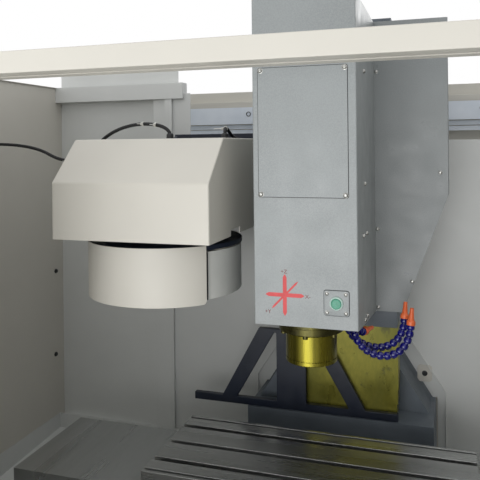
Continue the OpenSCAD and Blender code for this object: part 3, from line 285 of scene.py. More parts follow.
def thicken(obj, thickness):
    """Gives a sheet its thickness, inwards from its faces."""
    modify(obj, "SOLIDIFY", thickness=thickness, offset=-1.0, use_even_offset=True)


def discard(obj):
    bpy.data.objects.remove(obj)


def cut(obj, tool):
    """Takes a tool's shape out of a piece and removes the tool."""
    modify(obj, "BOOLEAN", operation="DIFFERENCE", solver="EXACT", object=tool)
    discard(tool)


def another(obj, name, matrix=None):
    """Copy with its own mesh, set in place by a matrix."""
    twin = obj.copy()
    twin.data = obj.data.copy()
    twin.name = twin.data.name = name
    bpy.context.scene.collection.objects.link(twin)
    if matrix is not None:
        twin.matrix_world = matrix @ obj.matrix_world
    return twin


def repeated(obj, places):
    """Copies of a piece, one settled at each place."""
    return [settle(another(obj, "copy", place)) for place in places]


def joined(name, parts):
    """One piece out of several."""
    clear()
    for part in parts:
        part.select_set(True)
    bpy.context.view_layer.objects.active = parts[0]
    bpy.ops.object.join()
    return newest(name)


def show(obj, body, finish, nodes=()):
    """Gives a finished piece its finish and its place in the machine."""
    settle(obj)
    obj.data.materials.clear()
    obj.data.materials.append(FINISHES[finish])
    if nodes:
        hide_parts(*nodes)
    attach(obj, body)


# Finishes


def tint(r, g, b):
    """Colour as it is seen, 0 to 255, as the linear values of a shader."""
    def linear(v):
        v /= 255
        return v / 12.92 if v <= 0.04045 else ((v + 0.055) / 1.055) ** 2.4
    return (linear(r), linear(g), linear(b), 1.0)


def shade(colour, share=1.0):
    """Paint in a colour of the panel, darker with a share under 1 and lighter with one over it."""
    return (colour[0] * share, colour[1] * share, colour[2] * share, 1.0)


def noise(tree, vector, scale, detail, rough=0.55):
    """Value of a noise pattern."""
    node = tree.nodes.new("ShaderNodeTexNoise")
    node.inputs["Scale"].default_value = scale
    node.inputs["Detail"].default_value = detail
    node.inputs["Roughness"].default_value = rough
    tree.links.new(vector, node.inputs["Vector"])
    return node.outputs["Fac"]


def spread(tree, value, low, high, to_low=0.0, to_high=1.0):
    """Maps a value between two limits to two others."""
    node = tree.nodes.new("ShaderNodeMapRange")
    for key, number in zip(("From Min", "From Max", "To Min", "To Max"), (low, high, to_low, to_high)):
        node.inputs[key].default_value = number
    tree.links.new(value, node.inputs["Value"])
    return node.outputs["Result"]


def mixed(tree, share, first, second):
    """Mix of two colours, each a value or an output."""
    node = tree.nodes.new("ShaderNodeMix")
    node.data_type = "RGBA"
    tree.links.new(share, node.inputs["Factor"])
    for key, colour in (("A", first), ("B", second)):
        socket = next(s for s in node.inputs if s.name == key and s.type == "RGBA")
        if isinstance(colour, tuple):
            socket.default_value = colour
        else:
            tree.links.new(colour, socket)
    return next(s for s in node.outputs if s.type == "RGBA")


def surface(name, colour, patch, patch_scale, gloss, grain, depth, stretch=(1, 1, 1), marks=None,
            marks_scale=30.0, marks_share=0.7, brushed=None, speckle=None, **sockets):
    """Finish with patches of a second colour, sparse marks of a third, uneven gloss and a fine relief.
    depth is the relief's height in millimetres, and stretch squeezes the pattern along each axis."""
    material = bpy.data.materials.new(name)
    material.use_nodes = True
    tree = material.node_tree
    shader = tree.nodes["Principled BSDF"]
    place = tree.nodes.new("ShaderNodeTexCoord").outputs["Object"]
    turn = tree.nodes.new("ShaderNodeMapping")
    turn.inputs["Scale"].default_value = stretch
    tree.links.new(place, turn.inputs["Vector"])
    pattern = turn.outputs["Vector"]
    cloud = noise(tree, pattern, patch_scale, 5.0)
    paint = mixed(tree, spread(tree, cloud, 0.35, 0.68), colour, patch)
    if marks:
        spots = noise(tree, place, marks_scale, 6.0, 0.65)
        paint = mixed(tree, spread(tree, spots, marks_share, marks_share + 0.06), paint, marks)
    if speckle:
        grains = noise(tree, place, 420.0, 2.0, 0.7)
        paint = mixed(tree, spread(tree, grains, 0.36, 0.64, 0.0, 0.6), paint, speckle)
    if brushed:
        lines = noise(tree, pattern, brushed, 2.0)
        paint = mixed(tree, spread(tree, lines, 0.3, 0.75, 0.0, 0.35), paint, patch)
    tree.links.new(paint, shader.inputs["Base Color"])
    haze = noise(tree, pattern, patch_scale * 4.3, 4.0)
    tree.links.new(spread(tree, haze, 0.3, 0.7, gloss[0], gloss[1]), shader.inputs["Roughness"])
    bump = tree.nodes.new("ShaderNodeBump")
    bump.inputs["Distance"].default_value = depth * MM
    bump.inputs["Strength"].default_value = 1.0
    tree.links.new(noise(tree, pattern, grain, 3.0), bump.inputs["Height"])
    tree.links.new(bump.outputs["Normal"], shader.inputs["Normal"])
    for key, value in sockets.items():
        shader.inputs[key.replace("_", " ")].default_value = value
    return material


FINISHES = {}


def make_finishes():
    """Every finish of the machine."""
    colours = bpy.context.scene.centre_colours
    head, cream, wall, frame_blue = colours.head, colours.cream, colours.wall, colours.frame

    def add(name, *look, **values):
        FINISHES[name] = surface(name, *look, **values)

    add("head_paint", shade(head), shade(head, 0.84), 3.4, (0.3, 0.46), 420.0, 0.06,
        marks=shade(head, 0.72), marks_scale=60.0, marks_share=0.72, speckle=shade(head, 1.18))
    # The wings carry the head's paint darkened to 0.8, with patches at 0.62: painted shade, for the wings
    # stand back in the shade beside the head.
    add("wing_paint_painted_shade", shade(head, 0.8), shade(head, 0.62), 3.6, (0.26, 0.42), 420.0, 0.06,
        speckle=shade(head, 0.98))
    add("cream_paint", shade(cream), shade(cream, 0.93), 1.8, (0.38, 0.52), 500.0, 0.03,
        marks=shade(cream, 0.8), marks_scale=45.0, marks_share=0.74)
    add("wall_paint", shade(wall), shade(wall, 0.88), 1.4, (0.36, 0.52), 450.0, 0.04,
        marks=shade(wall, 0.75), marks_scale=38.0, marks_share=0.73)
    add("frame_paint", shade(frame_blue), shade(frame_blue, 0.7), 6.0, (0.35, 0.55), 300.0, 0.06,
        marks=shade(frame_blue, 1.9), marks_scale=90.0, marks_share=0.74)
    add("casting_paint", tint(104, 112, 120), tint(88, 96, 104), 5.0, (0.4, 0.6), 160.0, 0.25,
        marks=tint(70, 74, 78), marks_scale=55.0, marks_share=0.7)
    # Olive oil film of the spindle; its darker patches and lines are squeezed into upright streaks, painted
    # reflection bands of a turned sleeve.
    add("oil_film_reflection_streaks", tint(158, 148, 52), tint(104, 100, 40), 26.0, (0.22, 0.3), 1200.0, 0.001,
        stretch=(1, 1, 0.06), brushed=300.0, Metallic=0.9)
    # The flange's film is the spindle's oil film darkened: painted shade of the flange under the head.
    add("oil_film_painted_shade", tint(92, 88, 46), tint(64, 62, 40), 30.0, (0.24, 0.36), 1200.0, 0.002, Metallic=0.85)
    add("oily_cover", tint(150, 144, 58), tint(92, 92, 34), 5.0, (0.24, 0.44), 700.0, 0.01,
        stretch=(1, 1, 0.5), brushed=120.0, marks=tint(74, 76, 44), marks_scale=12.0, marks_share=0.6,
        Metallic=0.55)
    add("cover_steel", tint(176, 178, 178), tint(150, 152, 150), 5.0, (0.24, 0.38), 800.0, 0.01,
        stretch=(1, 0.06, 1), brushed=500.0, marks=tint(120, 112, 84), marks_scale=24.0, Metallic=0.9)
    add("ground_steel", tint(186, 187, 186), tint(160, 161, 160), 8.0, (0.2, 0.36), 900.0, 0.01,
        stretch=(0.05, 1, 1), brushed=700.0, marks=tint(120, 110, 86), marks_scale=60.0, Metallic=0.95)
    add("screw_zinc", tint(196, 196, 192), tint(150, 150, 146), 160.0, (0.18, 0.34), 2600.0, 0.004,
        Metallic=0.95)
    add("motor_black", tint(34, 35, 37), tint(24, 25, 27), 9.0, (0.36, 0.55), 500.0, 0.05,
        marks=tint(60, 61, 62), marks_scale=120.0, marks_share=0.74)
    add("link_plastic", tint(14, 16, 118), tint(10, 11, 88), 60.0, (0.12, 0.22), 900.0, 0.006,
        IOR=1.5, Coat_Weight=0.4)
    add("nozzle_plastic", tint(232, 112, 62), tint(214, 96, 50), 50.0, (0.3, 0.42), 1200.0, 0.02)
    add("button_green", tint(66, 150, 122), tint(54, 134, 108), 60.0, (0.22, 0.34), 1500.0, 0.01)
    add("bezel_mint", tint(196, 224, 214), tint(180, 210, 200), 60.0, (0.25, 0.35), 1500.0, 0.01)
    add("cross_red", tint(214, 74, 76), tint(198, 64, 66), 40.0, (0.4, 0.55), 1500.0, 0.02)
    add("mark_ink", tint(120, 44, 44), tint(104, 40, 40), 60.0, (0.45, 0.6), 1500.0, 0.02)
    add("black_rubber", tint(30, 31, 33), tint(22, 23, 24), 30.0, (0.55, 0.75), 1400.0, 0.04)
    add("black_plastic", tint(38, 39, 41), tint(30, 31, 33), 30.0, (0.4, 0.55), 1600.0, 0.03)
    add("gear_plastic", tint(48, 50, 54), tint(38, 40, 44), 30.0, (0.4, 0.55), 1400.0, 0.03)
    add("tie_white", tint(226, 226, 220), tint(210, 210, 204), 80.0, (0.35, 0.5), 1500.0, 0.02)
    add("brass", tint(190, 160, 96), tint(160, 132, 76), 60.0, (0.22, 0.36), 1500.0, 0.006, Metallic=0.95)
    add("start_green", tint(52, 150, 78), tint(44, 134, 68), 60.0, (0.25, 0.36), 1500.0, 0.01)
    add("stop_red", tint(198, 36, 32), tint(178, 28, 26), 60.0, (0.25, 0.36), 1500.0, 0.01)
    add("collar_yellow", tint(226, 190, 50), tint(208, 172, 40), 60.0, (0.35, 0.48), 1500.0, 0.02)
    add("trough_paint", tint(226, 233, 242), tint(208, 217, 228), 6.0, (0.36, 0.5), 700.0, 0.03)
    add("box_grey", tint(206, 207, 203), tint(190, 192, 188), 4.0, (0.38, 0.5), 700.0, 0.03)
    add("gear_grey", tint(150, 154, 154), tint(122, 126, 128), 7.0, (0.35, 0.5), 600.0, 0.03)
    add("screen_glass", tint(26, 32, 38), tint(34, 42, 50), 8.0, (0.06, 0.12), 900.0, 0.002,
        Coat_Weight=0.6)
    add("key_light", tint(216, 216, 210), tint(200, 200, 194), 30.0, (0.4, 0.5), 1500.0, 0.02)
    add("key_dark", tint(70, 74, 80), tint(58, 62, 68), 30.0, (0.4, 0.5), 1500.0, 0.02)
    add("clear_pane", tint(222, 232, 232), tint(206, 220, 222), 3.0, (0.05, 0.16), 60.0, 0.02,
        Transmission_Weight=0.92, IOR=1.49)


# Sizes and colours that a user would change


def length(name, description, default, low, high):
    """Length that the panel shows."""
    return bpy.props.FloatProperty(name=name, description=description, default=default, min=low, max=high,
                                   subtype="DISTANCE", unit="LENGTH")


def paint(name, description, r, g, b):
    """Colour that the panel shows."""
    return bpy.props.FloatVectorProperty(name=name, description=description, default=tint(r, g, b)[:3],
                                         size=3, min=0.0, max=1.0, subtype="COLOR")


class CentreSizes(bpy.types.PropertyGroup):
    """Sizes of the covers and their fittings"""

    sheet: length("Sheet", "Thickness of the head's and the magazine's sheet", 2.5 * MM, 0.001, 0.004)
    fold: length("Fold", "Outer radius of a fold in the sheet", 3.2 * MM, 0.0015, 0.008)
    # Black strips round the access panel and the button plate, whose width gives their painted shadow line.
    seal: length("Seal", "How far the seals show around the panel and the button plate", 1.3 * MM, 0.0, 0.004)
    link: length("Hose link", "Outer diameter of a link of the coolant hoses", 21 * MM, 0.016, 0.022)
    pitch: length("Link pitch", "Distance from one hose link to the next", 17 * MM, 0.014, 0.019)
    conduit: length("Conduit", "Outer diameter of the cable conduits", 11 * MM, 0.008, 0.014)


class CentreColours(bpy.types.PropertyGroup):
    """Colours of the painted parts"""

    head: paint("Head", "Paint of the head's covers", 148, 153, 154)
    cream: paint("Cream", "Paint of the enclosure and the magazine's cover", 208, 205, 196)
    wall: paint("Wall", "Paint of the splash wall and the trays", 216, 218, 216)
    frame: paint("Frame", "Paint of the frame behind the spindle", 22, 31, 48)


# Head

# Depth of the wings behind the spindle's axis
WING_DEPTH = 264
# Outer corner of the right wing's foot, and the height from which the wing has its full width
WING_FOOT, WING_KNEE = 210.5, 409


def button_hole(sheet, radius, y):
    """Cuts the push button's hole, its radius in millimetres, through a sheet at y."""
    button = middle("unclamp_button")
    outline = ((0, -10), (radius, -10), (radius, 10), (0, 10))
    cut(sheet, turned("hole", outline, (button.x, y, button.z), FRONT, 32))


class CENTRE_OT_head_cover(bpy.types.Operator):
    """Folded sheet cover of the head, with its wings"""

    bl_idname = "centre.head_cover"
    bl_label = "Head cover"

    def execute(self, context):
        sizes = context.scene.centre_sizes
        low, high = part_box("head_cover")
        drop = 49 * MM
        edge = low.z + drop
        cover = block("head_cover_sheet", (low.x, low.y, edge), high)
        pick(cover, "VERT", lambda c: c.y > high.y - MM and c.z < edge + MM)
        bpy.ops.transform.translate(value=(0, 0, -drop))
        open_up(cover)
        round_edges(cover, lambda a, b: max(a.y, b.y) < low.y + MM and max(a.z, b.z) > edge + MM, sizes.fold)
        thicken(cover, sizes.sheet)
        button_hole(cover, 14.5, low.y)
        soften(cover, 0.6 * MM)
        show(cover, "head", "head_paint", ["head_cover"])
        self.wings(sizes, low.x + 6 * MM, high.x - 6 * MM)
        return {"FINISHED"}

    def wings(self, sizes, left_x, right_x):
        """Flat sheet on each side, the right one with a folded outer edge."""
        low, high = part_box("head_wings")
        y = at(0, WING_DEPTH, 0).y
        right = filled("right_wing", (
            (right_x, y, low.z), (at(WING_FOOT, 0, 0).x, y, low.z), (high.x, y, at(0, 0, WING_KNEE).z),
            (high.x, y, high.z), (right_x, y, high.z)))
        left = filled("left_wing", (
            (left_x, y, low.z), (left_x, y, high.z), (low.x, y, high.z), (low.x, y, low.z)))
        for wing in (right, left):
            if wing.data.polygons[0].normal.y > 0:
                flip(wing)

        def outer(a, b):
            return abs(a.x - high.x) < MM and abs(b.x - high.x) < MM

        pick(right, "EDGE", outer)
        push((0, 18 * MM, 0))
        round_edges(right, lambda a, b: outer(a, b) and max(a.y, b.y) < y + MM, sizes.fold)
        for wing in (right, left):
            thicken(wing, sizes.sheet)
            soften(wing, 0.6 * MM)
        # the wings get the head's paint darkened as painted shade
        show(joined("head_wing_sheets", [right, left]), "head", "wing_paint_painted_shade", ["head_wings"])


class CENTRE_OT_head_fittings(bpy.types.Operator):
    """Access panel, button plate, push button and screws of the head"""

    bl_idname = "centre.head_fittings"
    bl_label = "Head fittings"

    def execute(self, context):
        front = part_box("head_cover")[0].y
        button = middle("unclamp_button")
        plate = 3.0
        self.sheet("access_panel", 4.0, 2.0, front, context.scene.centre_sizes.seal)
        self.sheet("button_plate", 5.0, plate, front, context.scene.centre_sizes.seal)
        bezel = turned("button_bezel", (
            (12.3, 0), (12.3, 5.2), (12.9, 6), (13.8, 6), (15.2, 4.8), (15.5, 3.5), (15.5, 0), (12.3, 0)),
            (button.x, front - plate * MM, button.z), FRONT)
        show(smooth(bezel, 40), "head", "bezel_mint")
        cap = turned("push_button", (
            (0, -2), (12, -2), (12, 9.6), (11.6, 10.4), (10.6, 10.8), (9.6, 10.4), (8.6, 10.1), (5, 10.4),
            (0, 10.6)), (button.x, front, button.z), FRONT)
        show(smooth(cap, 50), "unclamp", "button_green", ["unclamp_button"])
        self.screws()
        return {"FINISHED"}

    def sheet(self, node, corner, thick, front, seal):
        """A plate on the head's cover, and the black strip round it, wider than the plate, that gives its
        painted shadow line.
        """
        low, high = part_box(node)
        for ending, grow, height, edge, finish, slot, nodes in (
                ("_sheet", 0.0, thick, 0.45, "head_paint", "head_grey", [node]),
                # black strip under the plate, wider than it, as the plate's painted shadow line
                ("_seal", seal, 0.45, 0.1, "black_rubber", "black_plastic", ())):
            sheet = block(node + ending, (low.x - grow, front - height * MM, low.z - grow),
                          (high.x + grow, front, high.z + grow))
            round_edges(sheet, lambda a, b: abs(a.y - b.y) > 0.2 * MM, corner * MM + grow, 5)
            soften(sheet, edge * MM)
            if node == "button_plate":
                button_hole(sheet, 12.3, front)
            show(sheet, "head", finish, nodes)

    def screws(self):
        """A domed socket screw, modelled once in shares of its size and copied to every place."""
        screw = lathe("screw", (
            (0.0, -0.1), (0.62, -0.1), (0.62, 0.02), (0.5, 0.06), (0.5, 0.14), (0.47, 0.26), (0.38, 0.38),
            (0.27, 0.44), (0.0, 0.45)), steps=24)
        clear()
        bpy.ops.mesh.primitive_cylinder_add(vertices=6, radius=0.21, depth=0.5, location=(0, 0, 0.42))
        cut(screw, newest("hexagon"))
        smooth(screw, 40)
        low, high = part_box("access_panel")
        button = middle("unclamp_button")
        cover_low, cover_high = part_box("head_cover")
        inset = 6 * MM
        # each a place, a direction and a size, the size in millimetres
        places = [((x, low.y, z), FRONT, 11) for x in (low.x + inset, high.x - inset)
                  for z in (low.z + inset, high.z - inset)]
        places += [((button.x + x * MM, cover_low.y - 3 * MM, button.z + z * MM), FRONT, 8)
                   for x in (-22, 22) for z in (-22, 22)]
        places += [((cover_high.x, at(0, y, 0).y, at(0, 0, z).z), RIGHT, 11)
                   for y, z in ((-19, 322), (47, 320), (16, 448), (14, 730), (-3, 111), (43, 110))]
        places += [((cover_high.x + x * MM, at(0, WING_DEPTH, 0).y, at(0, 0, 116 + z).z), FRONT, 9)
                   for x, z in ((6, -38), (6, 187), (101, 41), (6, 640), (180, 350), (180, 700))]
        copies = repeated(screw, [
            stand(place, axis) @ Matrix.Rotation(0.9 * k, 4, "Z") @ Matrix.Scale(size * MM, 4)
            for k, (place, axis, size) in enumerate(places)])
        discard(screw)
        show(joined("cover_screw_heads", copies), "head", "screw_zinc", ["cover_screws"])


class CENTRE_OT_axis_cross(bpy.types.Operator):
    """Painted cross that shows the directions of the axes, with its marks"""

    bl_idname = "centre.axis_cross"
    bl_label = "Axis cross"

    def execute(self, context):
        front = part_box("head_cover")[0].y
        centre = at(-37.6, 0, 189.6)
        point = 7
        bars = []
        # half length, half width, turn in degrees, height over the sheet
        for reach, half, turn, height in (
                (48.7, 4.7, 90, 0.36), (46.7, 4.7, 0, 0.3), (46, 2.3, 46, 0.24)):
            bar = block("bar", (-(reach - point) * MM, -height * MM, -half * MM),
                        ((reach - point) * MM, 0, half * MM))
            for side in (-1, 1):
                pick(bar, "FACE", lambda c, n: n.x * side > FACING)
                push((side * point * MM, 0, 0))
                bpy.ops.transform.resize(value=(1, 1, 0.22))
                leave()
            bar.matrix_world = (Matrix.Translation((centre.x, front, centre.z))
                                @ Matrix.Rotation(-math.radians(turn), 4, "Y"))
            bars.append(settle(bar))
        show(joined("axis_cross_bars", bars), "head", "cross_red")
        self.marks(front)
        return {"FINISHED"}

    def marks(self, front):
        """Generic axis letters at the ends of the cross."""
        height = 0.12 * MM
        marks = []
        for word, x, z in (("+Z", -39.3, 245.1), ("X-", 18.2, 188.3), ("+Y", -79.3, 147.8)):
            clear()
            bpy.ops.object.text_add(location=(0, 0, 0))
            text = bpy.context.object
            text.data.body = word
            text.data.size = 13 * MM
            text.data.align_x = "CENTER"
            text.data.align_y = "CENTER"
            text.data.extrude = height
            bpy.ops.object.convert(target="MESH")
            text = bpy.context.object
            place = at(x, 0, z)
            text.matrix_world = (Matrix.Translation((place.x, front - height, place.z))
                                 @ Matrix.Rotation(math.radians(90), 4, "X"))
            marks.append(settle(text))
        show(joined("axis_marks", marks), "head", "mark_ink")


# Spindle and coolant


class CENTRE_OT_spindle(bpy.types.Operator):
    """Turned sleeve and flange of the spindle, and its nose with the drive keys"""

    bl_idname = "centre.spindle"
    bl_label = "Spindle"

    def execute(self, context):
        place = (AXIS.x, AXIS.y, NOSE)
        sleeve = turned("spindle_sleeve", (
            (38.3, 34), (38.3, 1), (39.3, 0), (61.5, 0), (63.6, 0.6), (65, 2.2), (65, 10.6), (64.6, 11),
            (63.5, 11.2), (63.5, 12.8), (64.6, 13), (65, 13.4), (65, 74), (64.2, 75), (64.2, 77), (65, 78),
            (65, 80.5), (30.3, 80.5), (30.3, 34), (38.3, 34)), place, UP, 128)
        # the sleeve's oil film carries upright darker streaks, painted reflection bands
        show(smooth(sleeve, 30), "head", "oil_film_reflection_streaks", ["spindle_housing"])
        flange = turned("spindle_flange", (
            (64, 80), (80.6, 80), (82, 80.6), (82.5, 82), (82.5, 96), (81.8, 96.6), (81.8, 98.4), (82.5, 99),
            (82.5, 122), (70.3, 122), (70.3, 395), (30.3, 395), (30.3, 80.5), (64, 80.5), (64, 80)),
            place, UP, 128)
        smooth(flange, 30)
        screw = turned("flange_screw", (
            (0, 5), (3.2, 5), (3.2, 0.4), (5.9, 0), (6.5, 0.6), (6.5, 12), (0, 12)), steps=24)
        smooth(screw, 40)
        circle, first, count = 73.75, 30, 6
        angles = [math.radians(first + 360 / count * k) for k in range(count)]
        copies = repeated(screw, [
            Matrix.Translation(at(circle * math.cos(a), circle * math.sin(a), 72)) for a in angles])
        discard(screw)
        # the flange gets the darkened oil film, painted shade under the head
        show(joined("spindle_flange", [flange, *copies]), "head", "oil_film_painted_shade",
             ["spindle_housing"])
        nose = turned("spindle_nose", (
            (22.2, -8), (37, -8), (38, -7), (38, 34), (30, 34), (30, 471), (10, 471), (10, 60), (13, 57),
            (22.2, -8)), place, UP, 96)
        keys = []
        for side in (-1, 1):
            key = block("key", at(side * 30.1 - 6, -8, -12), at(side * 30.1 + 6, 8, -6))
            keys.append(soften(key, 1.2 * MM))
        # the nose's oil film carries the same painted reflection streaks
        show(joined("spindle_nose", [smooth(nose, 30), *keys]), "spindle", "oil_film_reflection_streaks",
             ["spindle_shaft"])
        return {"FINISHED"}


def bezier(curve, t):
    """Point of a cubic curve with four control points."""
    a, b, c, d = (Vector(p) for p in curve)
    return a * (1 - t) ** 3 + 3 * b * t * (1 - t) ** 2 + 3 * c * t * t * (1 - t) + d * t ** 3


def on_curve(curve, t, base=0):
    """Matrix that stands a piece on a curve and points it along. The curve's heights start at base."""
    x, y, z = bezier(curve, t)
    return stand(at(x, y, z + base), bezier(curve, t + 0.01) - bezier(curve, t - 0.01))


HOSES = (
    ((76, 96, 94.4), (64, 100, -4), (222, 114, -29), (223, 134, 86)),
    ((100, 72, 94.4), (75, 77, -13), (237, 85, -50), (241, 94, 82)),
    ((100, 118, 94.4), (102, 106, 70), (112, 96, 40), (118, 118, 50)),
)


class CENTRE_OT_coolant(bpy.types.Operator):
    """Manifold, jointed hoses and nozzles of the coolant"""

    bl_idname = "centre.coolant"
    bl_label = "Coolant hoses"

    def execute(self, context):
        sizes = context.scene.centre_sizes
        # radius as a share of the link's diameter, height as a share of the pitch
        link = lathe("hose_link", [(r * sizes.link, h * sizes.pitch) for r, h in (
            (0.0, -0.8), (0.27, -0.8), (0.29, -0.74), (0.29, -0.4), (0.33, -0.36), (0.41, -0.36),
            (0.46, -0.27), (0.495, -0.12), (0.5, 0.02), (0.49, 0.14), (0.45, 0.3), (0.42, 0.44), (0.4, 0.49),
            (0.35, 0.5), (0.31, 0.47), (0.0, 0.47))], steps=20)
        smooth(link, 50)
        nozzle = turned("nozzle", (
            (0, 0), (8.6, 0), (9.6, -2.9), (10.9, -2.9), (11.4, -2.2), (11.4, 6), (10.9, 7.2), (8.8, 9.6),
            (7.6, 11.6), (6.4, 20.6), (5.2, 34.6), (4.9, 39.8), (4.5, 40.6), (3.2, 40.6), (2.9, 40),
            (2.6, 32), (0, 32)), steps=32)
        smooth(nozzle, 40)
        for number, curve in enumerate(HOSES, 1):
            stops = self.stops(curve, sizes.pitch)
            hose = joined(f"coolant_hose_{number}", repeated(link, [on_curve(curve, t) for t in stops]))
            show(hose, "head", "link_plastic", ["coolant_hoses"])
            end = on_curve(curve, stops[-1]) @ Matrix.Translation((0, 0, sizes.pitch / 2))
            tip = another(nozzle, f"coolant_nozzle_{number}", end)
            show(tip, "head", "nozzle_plastic", ["coolant_nozzles"])
        discard(link)
        discard(nozzle)
        manifold = soften(block("coolant_block", *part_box("coolant_manifold")), 2.5 * MM, 3)
        show(manifold, "head", "motor_black", ["coolant_manifold"])
        fittings = []
        for (x, y, z), *_ in HOSES:
            fittings.append(turned("fitting", (
                (0, -9), (8.2, -9), (9, -8.4), (9, -3), (11.5, -2.4), (12.2, -1.6), (12.2, 3), (11.5, 3.8),
                (0, 3.8)), at(x, y, z - 3), UP, 6))
            smooth(fittings[-1], 25)
        show(joined("coolant_fittings", fittings), "head", "brass")
        return {"FINISHED"}

    def stops(self, curve, pitch):
        """Where the links of a hose sit on its curve, at equal steps along its length."""
        steps = 200
        points = [bezier(curve, i / steps) for i in range(steps + 1)]
        run = [0.0]
        for a, b in zip(points, points[1:]):
            run.append(run[-1] + (b - a).length)
        count = round(run[-1] * MM / pitch)
        shares = [(k + 0.5) * run[-1] / count for k in range(count)]
        return [next(i for i, done in enumerate(run) if done >= share) / steps for share in shares]


# Magazine

MAGAZINE_FRONT, MAGAZINE_TOP = -228, 567


class CENTRE_OT_magazine(bpy.types.Operator):
    """Folded cover of the tool magazine, its drum skirt and its shutter"""

    bl_idname = "centre.magazine"
    bl_label = "Tool magazine"

    def execute(self, context):
        sizes = context.scene.centre_sizes
        low, high = at(-610, MAGAZINE_FRONT, 317), at(-190, 200, MAGAZINE_TOP)
        cover = block("magazine_cover_sheet", low, high)
        edit_all(cover)
        bpy.ops.mesh.bisect(plane_co=at(0, MAGAZINE_FRONT, 459), plane_no=(0, -108, 190), use_fill=True,
                            clear_outer=True)
        leave()
        open_up(cover)
        fold = sizes.fold * 1.3
        round_edges(cover, lambda a, b: min(a.z, b.z) > low.z + MM and min(a.y, b.y) < high.y - MM, fold)
        round_edges(cover, lambda a, b: abs(a.z - b.z) > 50 * MM and max(a.y, b.y) < low.y + MM, fold)
        thicken(cover, sizes.sheet)
        cut(cover, block("notch", at(-200, -70, 300), at(-180, 4, 333)))
        soften(cover, 0.6 * MM)
        show(cover, "machine", "cream_paint", ["magazine_cover"])
        axis = Vector((at(-400, 0, 0).x, AXIS.y, 0))
        skirt = self.shell("magazine_skirt", axis, 210, 38, 284, 12)
        show(skirt, "magazine", "cream_paint", ["magazine_skirt"])
        shutter = self.shell("magazine_shutter", axis, 204, -37, 74, 6)
        show(shutter, "shutter", "box_grey", ["magazine_shutter"])
        shut_low, shut_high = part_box("magazine_shutter")
        # Black strips in the gaps at both ends of the shutter: partly a rubber seal, partly painted shade of
        # the seams.
        shade_seals = []
        for side in (-1, 1):
            seal = block("seal", (204.8 * MM, -0.7 * MM, shut_low.z), (209.4 * MM, 0.7 * MM, shut_high.z))
            seal.matrix_world = (Matrix.Translation((axis.x, axis.y, 0))
                                 @ Matrix.Rotation(side * math.radians(36.9), 4, "Z"))
            shade_seals.append(soften(settle(seal), 0.4 * MM))
        show(joined("magazine_seam_shade_seals", shade_seals), "magazine", "black_rubber")
        return {"FINISHED"}

    def shell(self, node, axis, radius, start, sweep, corner):
        """Rolled sheet around an upright axis, as high as its solid, with rounded lower corners."""
        low, high = (end.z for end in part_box(node))
        r = radius * MM
        angles = [math.radians(start) + turn for turn in (0, math.radians(sweep))]
        ends = [Vector((axis.x + r * math.cos(a), axis.y + r * math.sin(a), low)) for a in angles]
        sheet = drawn(node + "_sheet", [ends[0], ends[0] + UP * (high - low)])
        edit_all(sheet)
        # one step for each 3 degrees, counter-clockwise seen from above
        bpy.ops.mesh.spin(steps=max(12, round(sweep / 3)), angle=-math.radians(sweep),
                          center=(axis.x, axis.y, low), axis=(0, 0, 1))
        leave()
        close_up(sheet)
        pick(sheet, "VERT", lambda c: min((c - end).length for end in ends) < MM)
        bpy.ops.mesh.bevel(offset=min(corner, 0.9 * radius * math.radians(3)) * MM, segments=4,
                           affect="VERTICES")
        leave()
        face_away(sheet, axis)
        thicken(sheet, 3 * MM)
        return soften(sheet, 0.7 * MM, 2, 40)


# Routes of the conduits, with heights over the magazine cover's top
CONDUITS = (
    (((-414, 60, 12), (-414, 60, 58), (-590, 60, 66), (-668, 84, -24)),
     ((-668, 84, -24), (-698, 93, -58), (-800, 150, -80), (-900, 180, -40)),
     ((-900, 180, -40), (-980, 204, -8), (-1090, 210, -6), (-1150, 210, -6))),
    (((-280, 150, 12), (-280, 150, 64), (-350, 388, 5), (-350, 489.5, 5)),),
)
# The stretch and the place on it of each cable tie
TIES = ((CONDUITS[0][0], 0.32), (CONDUITS[0][0], 0.46), (CONDUITS[0][1], 0.6), (CONDUITS[1][0], 0.2))


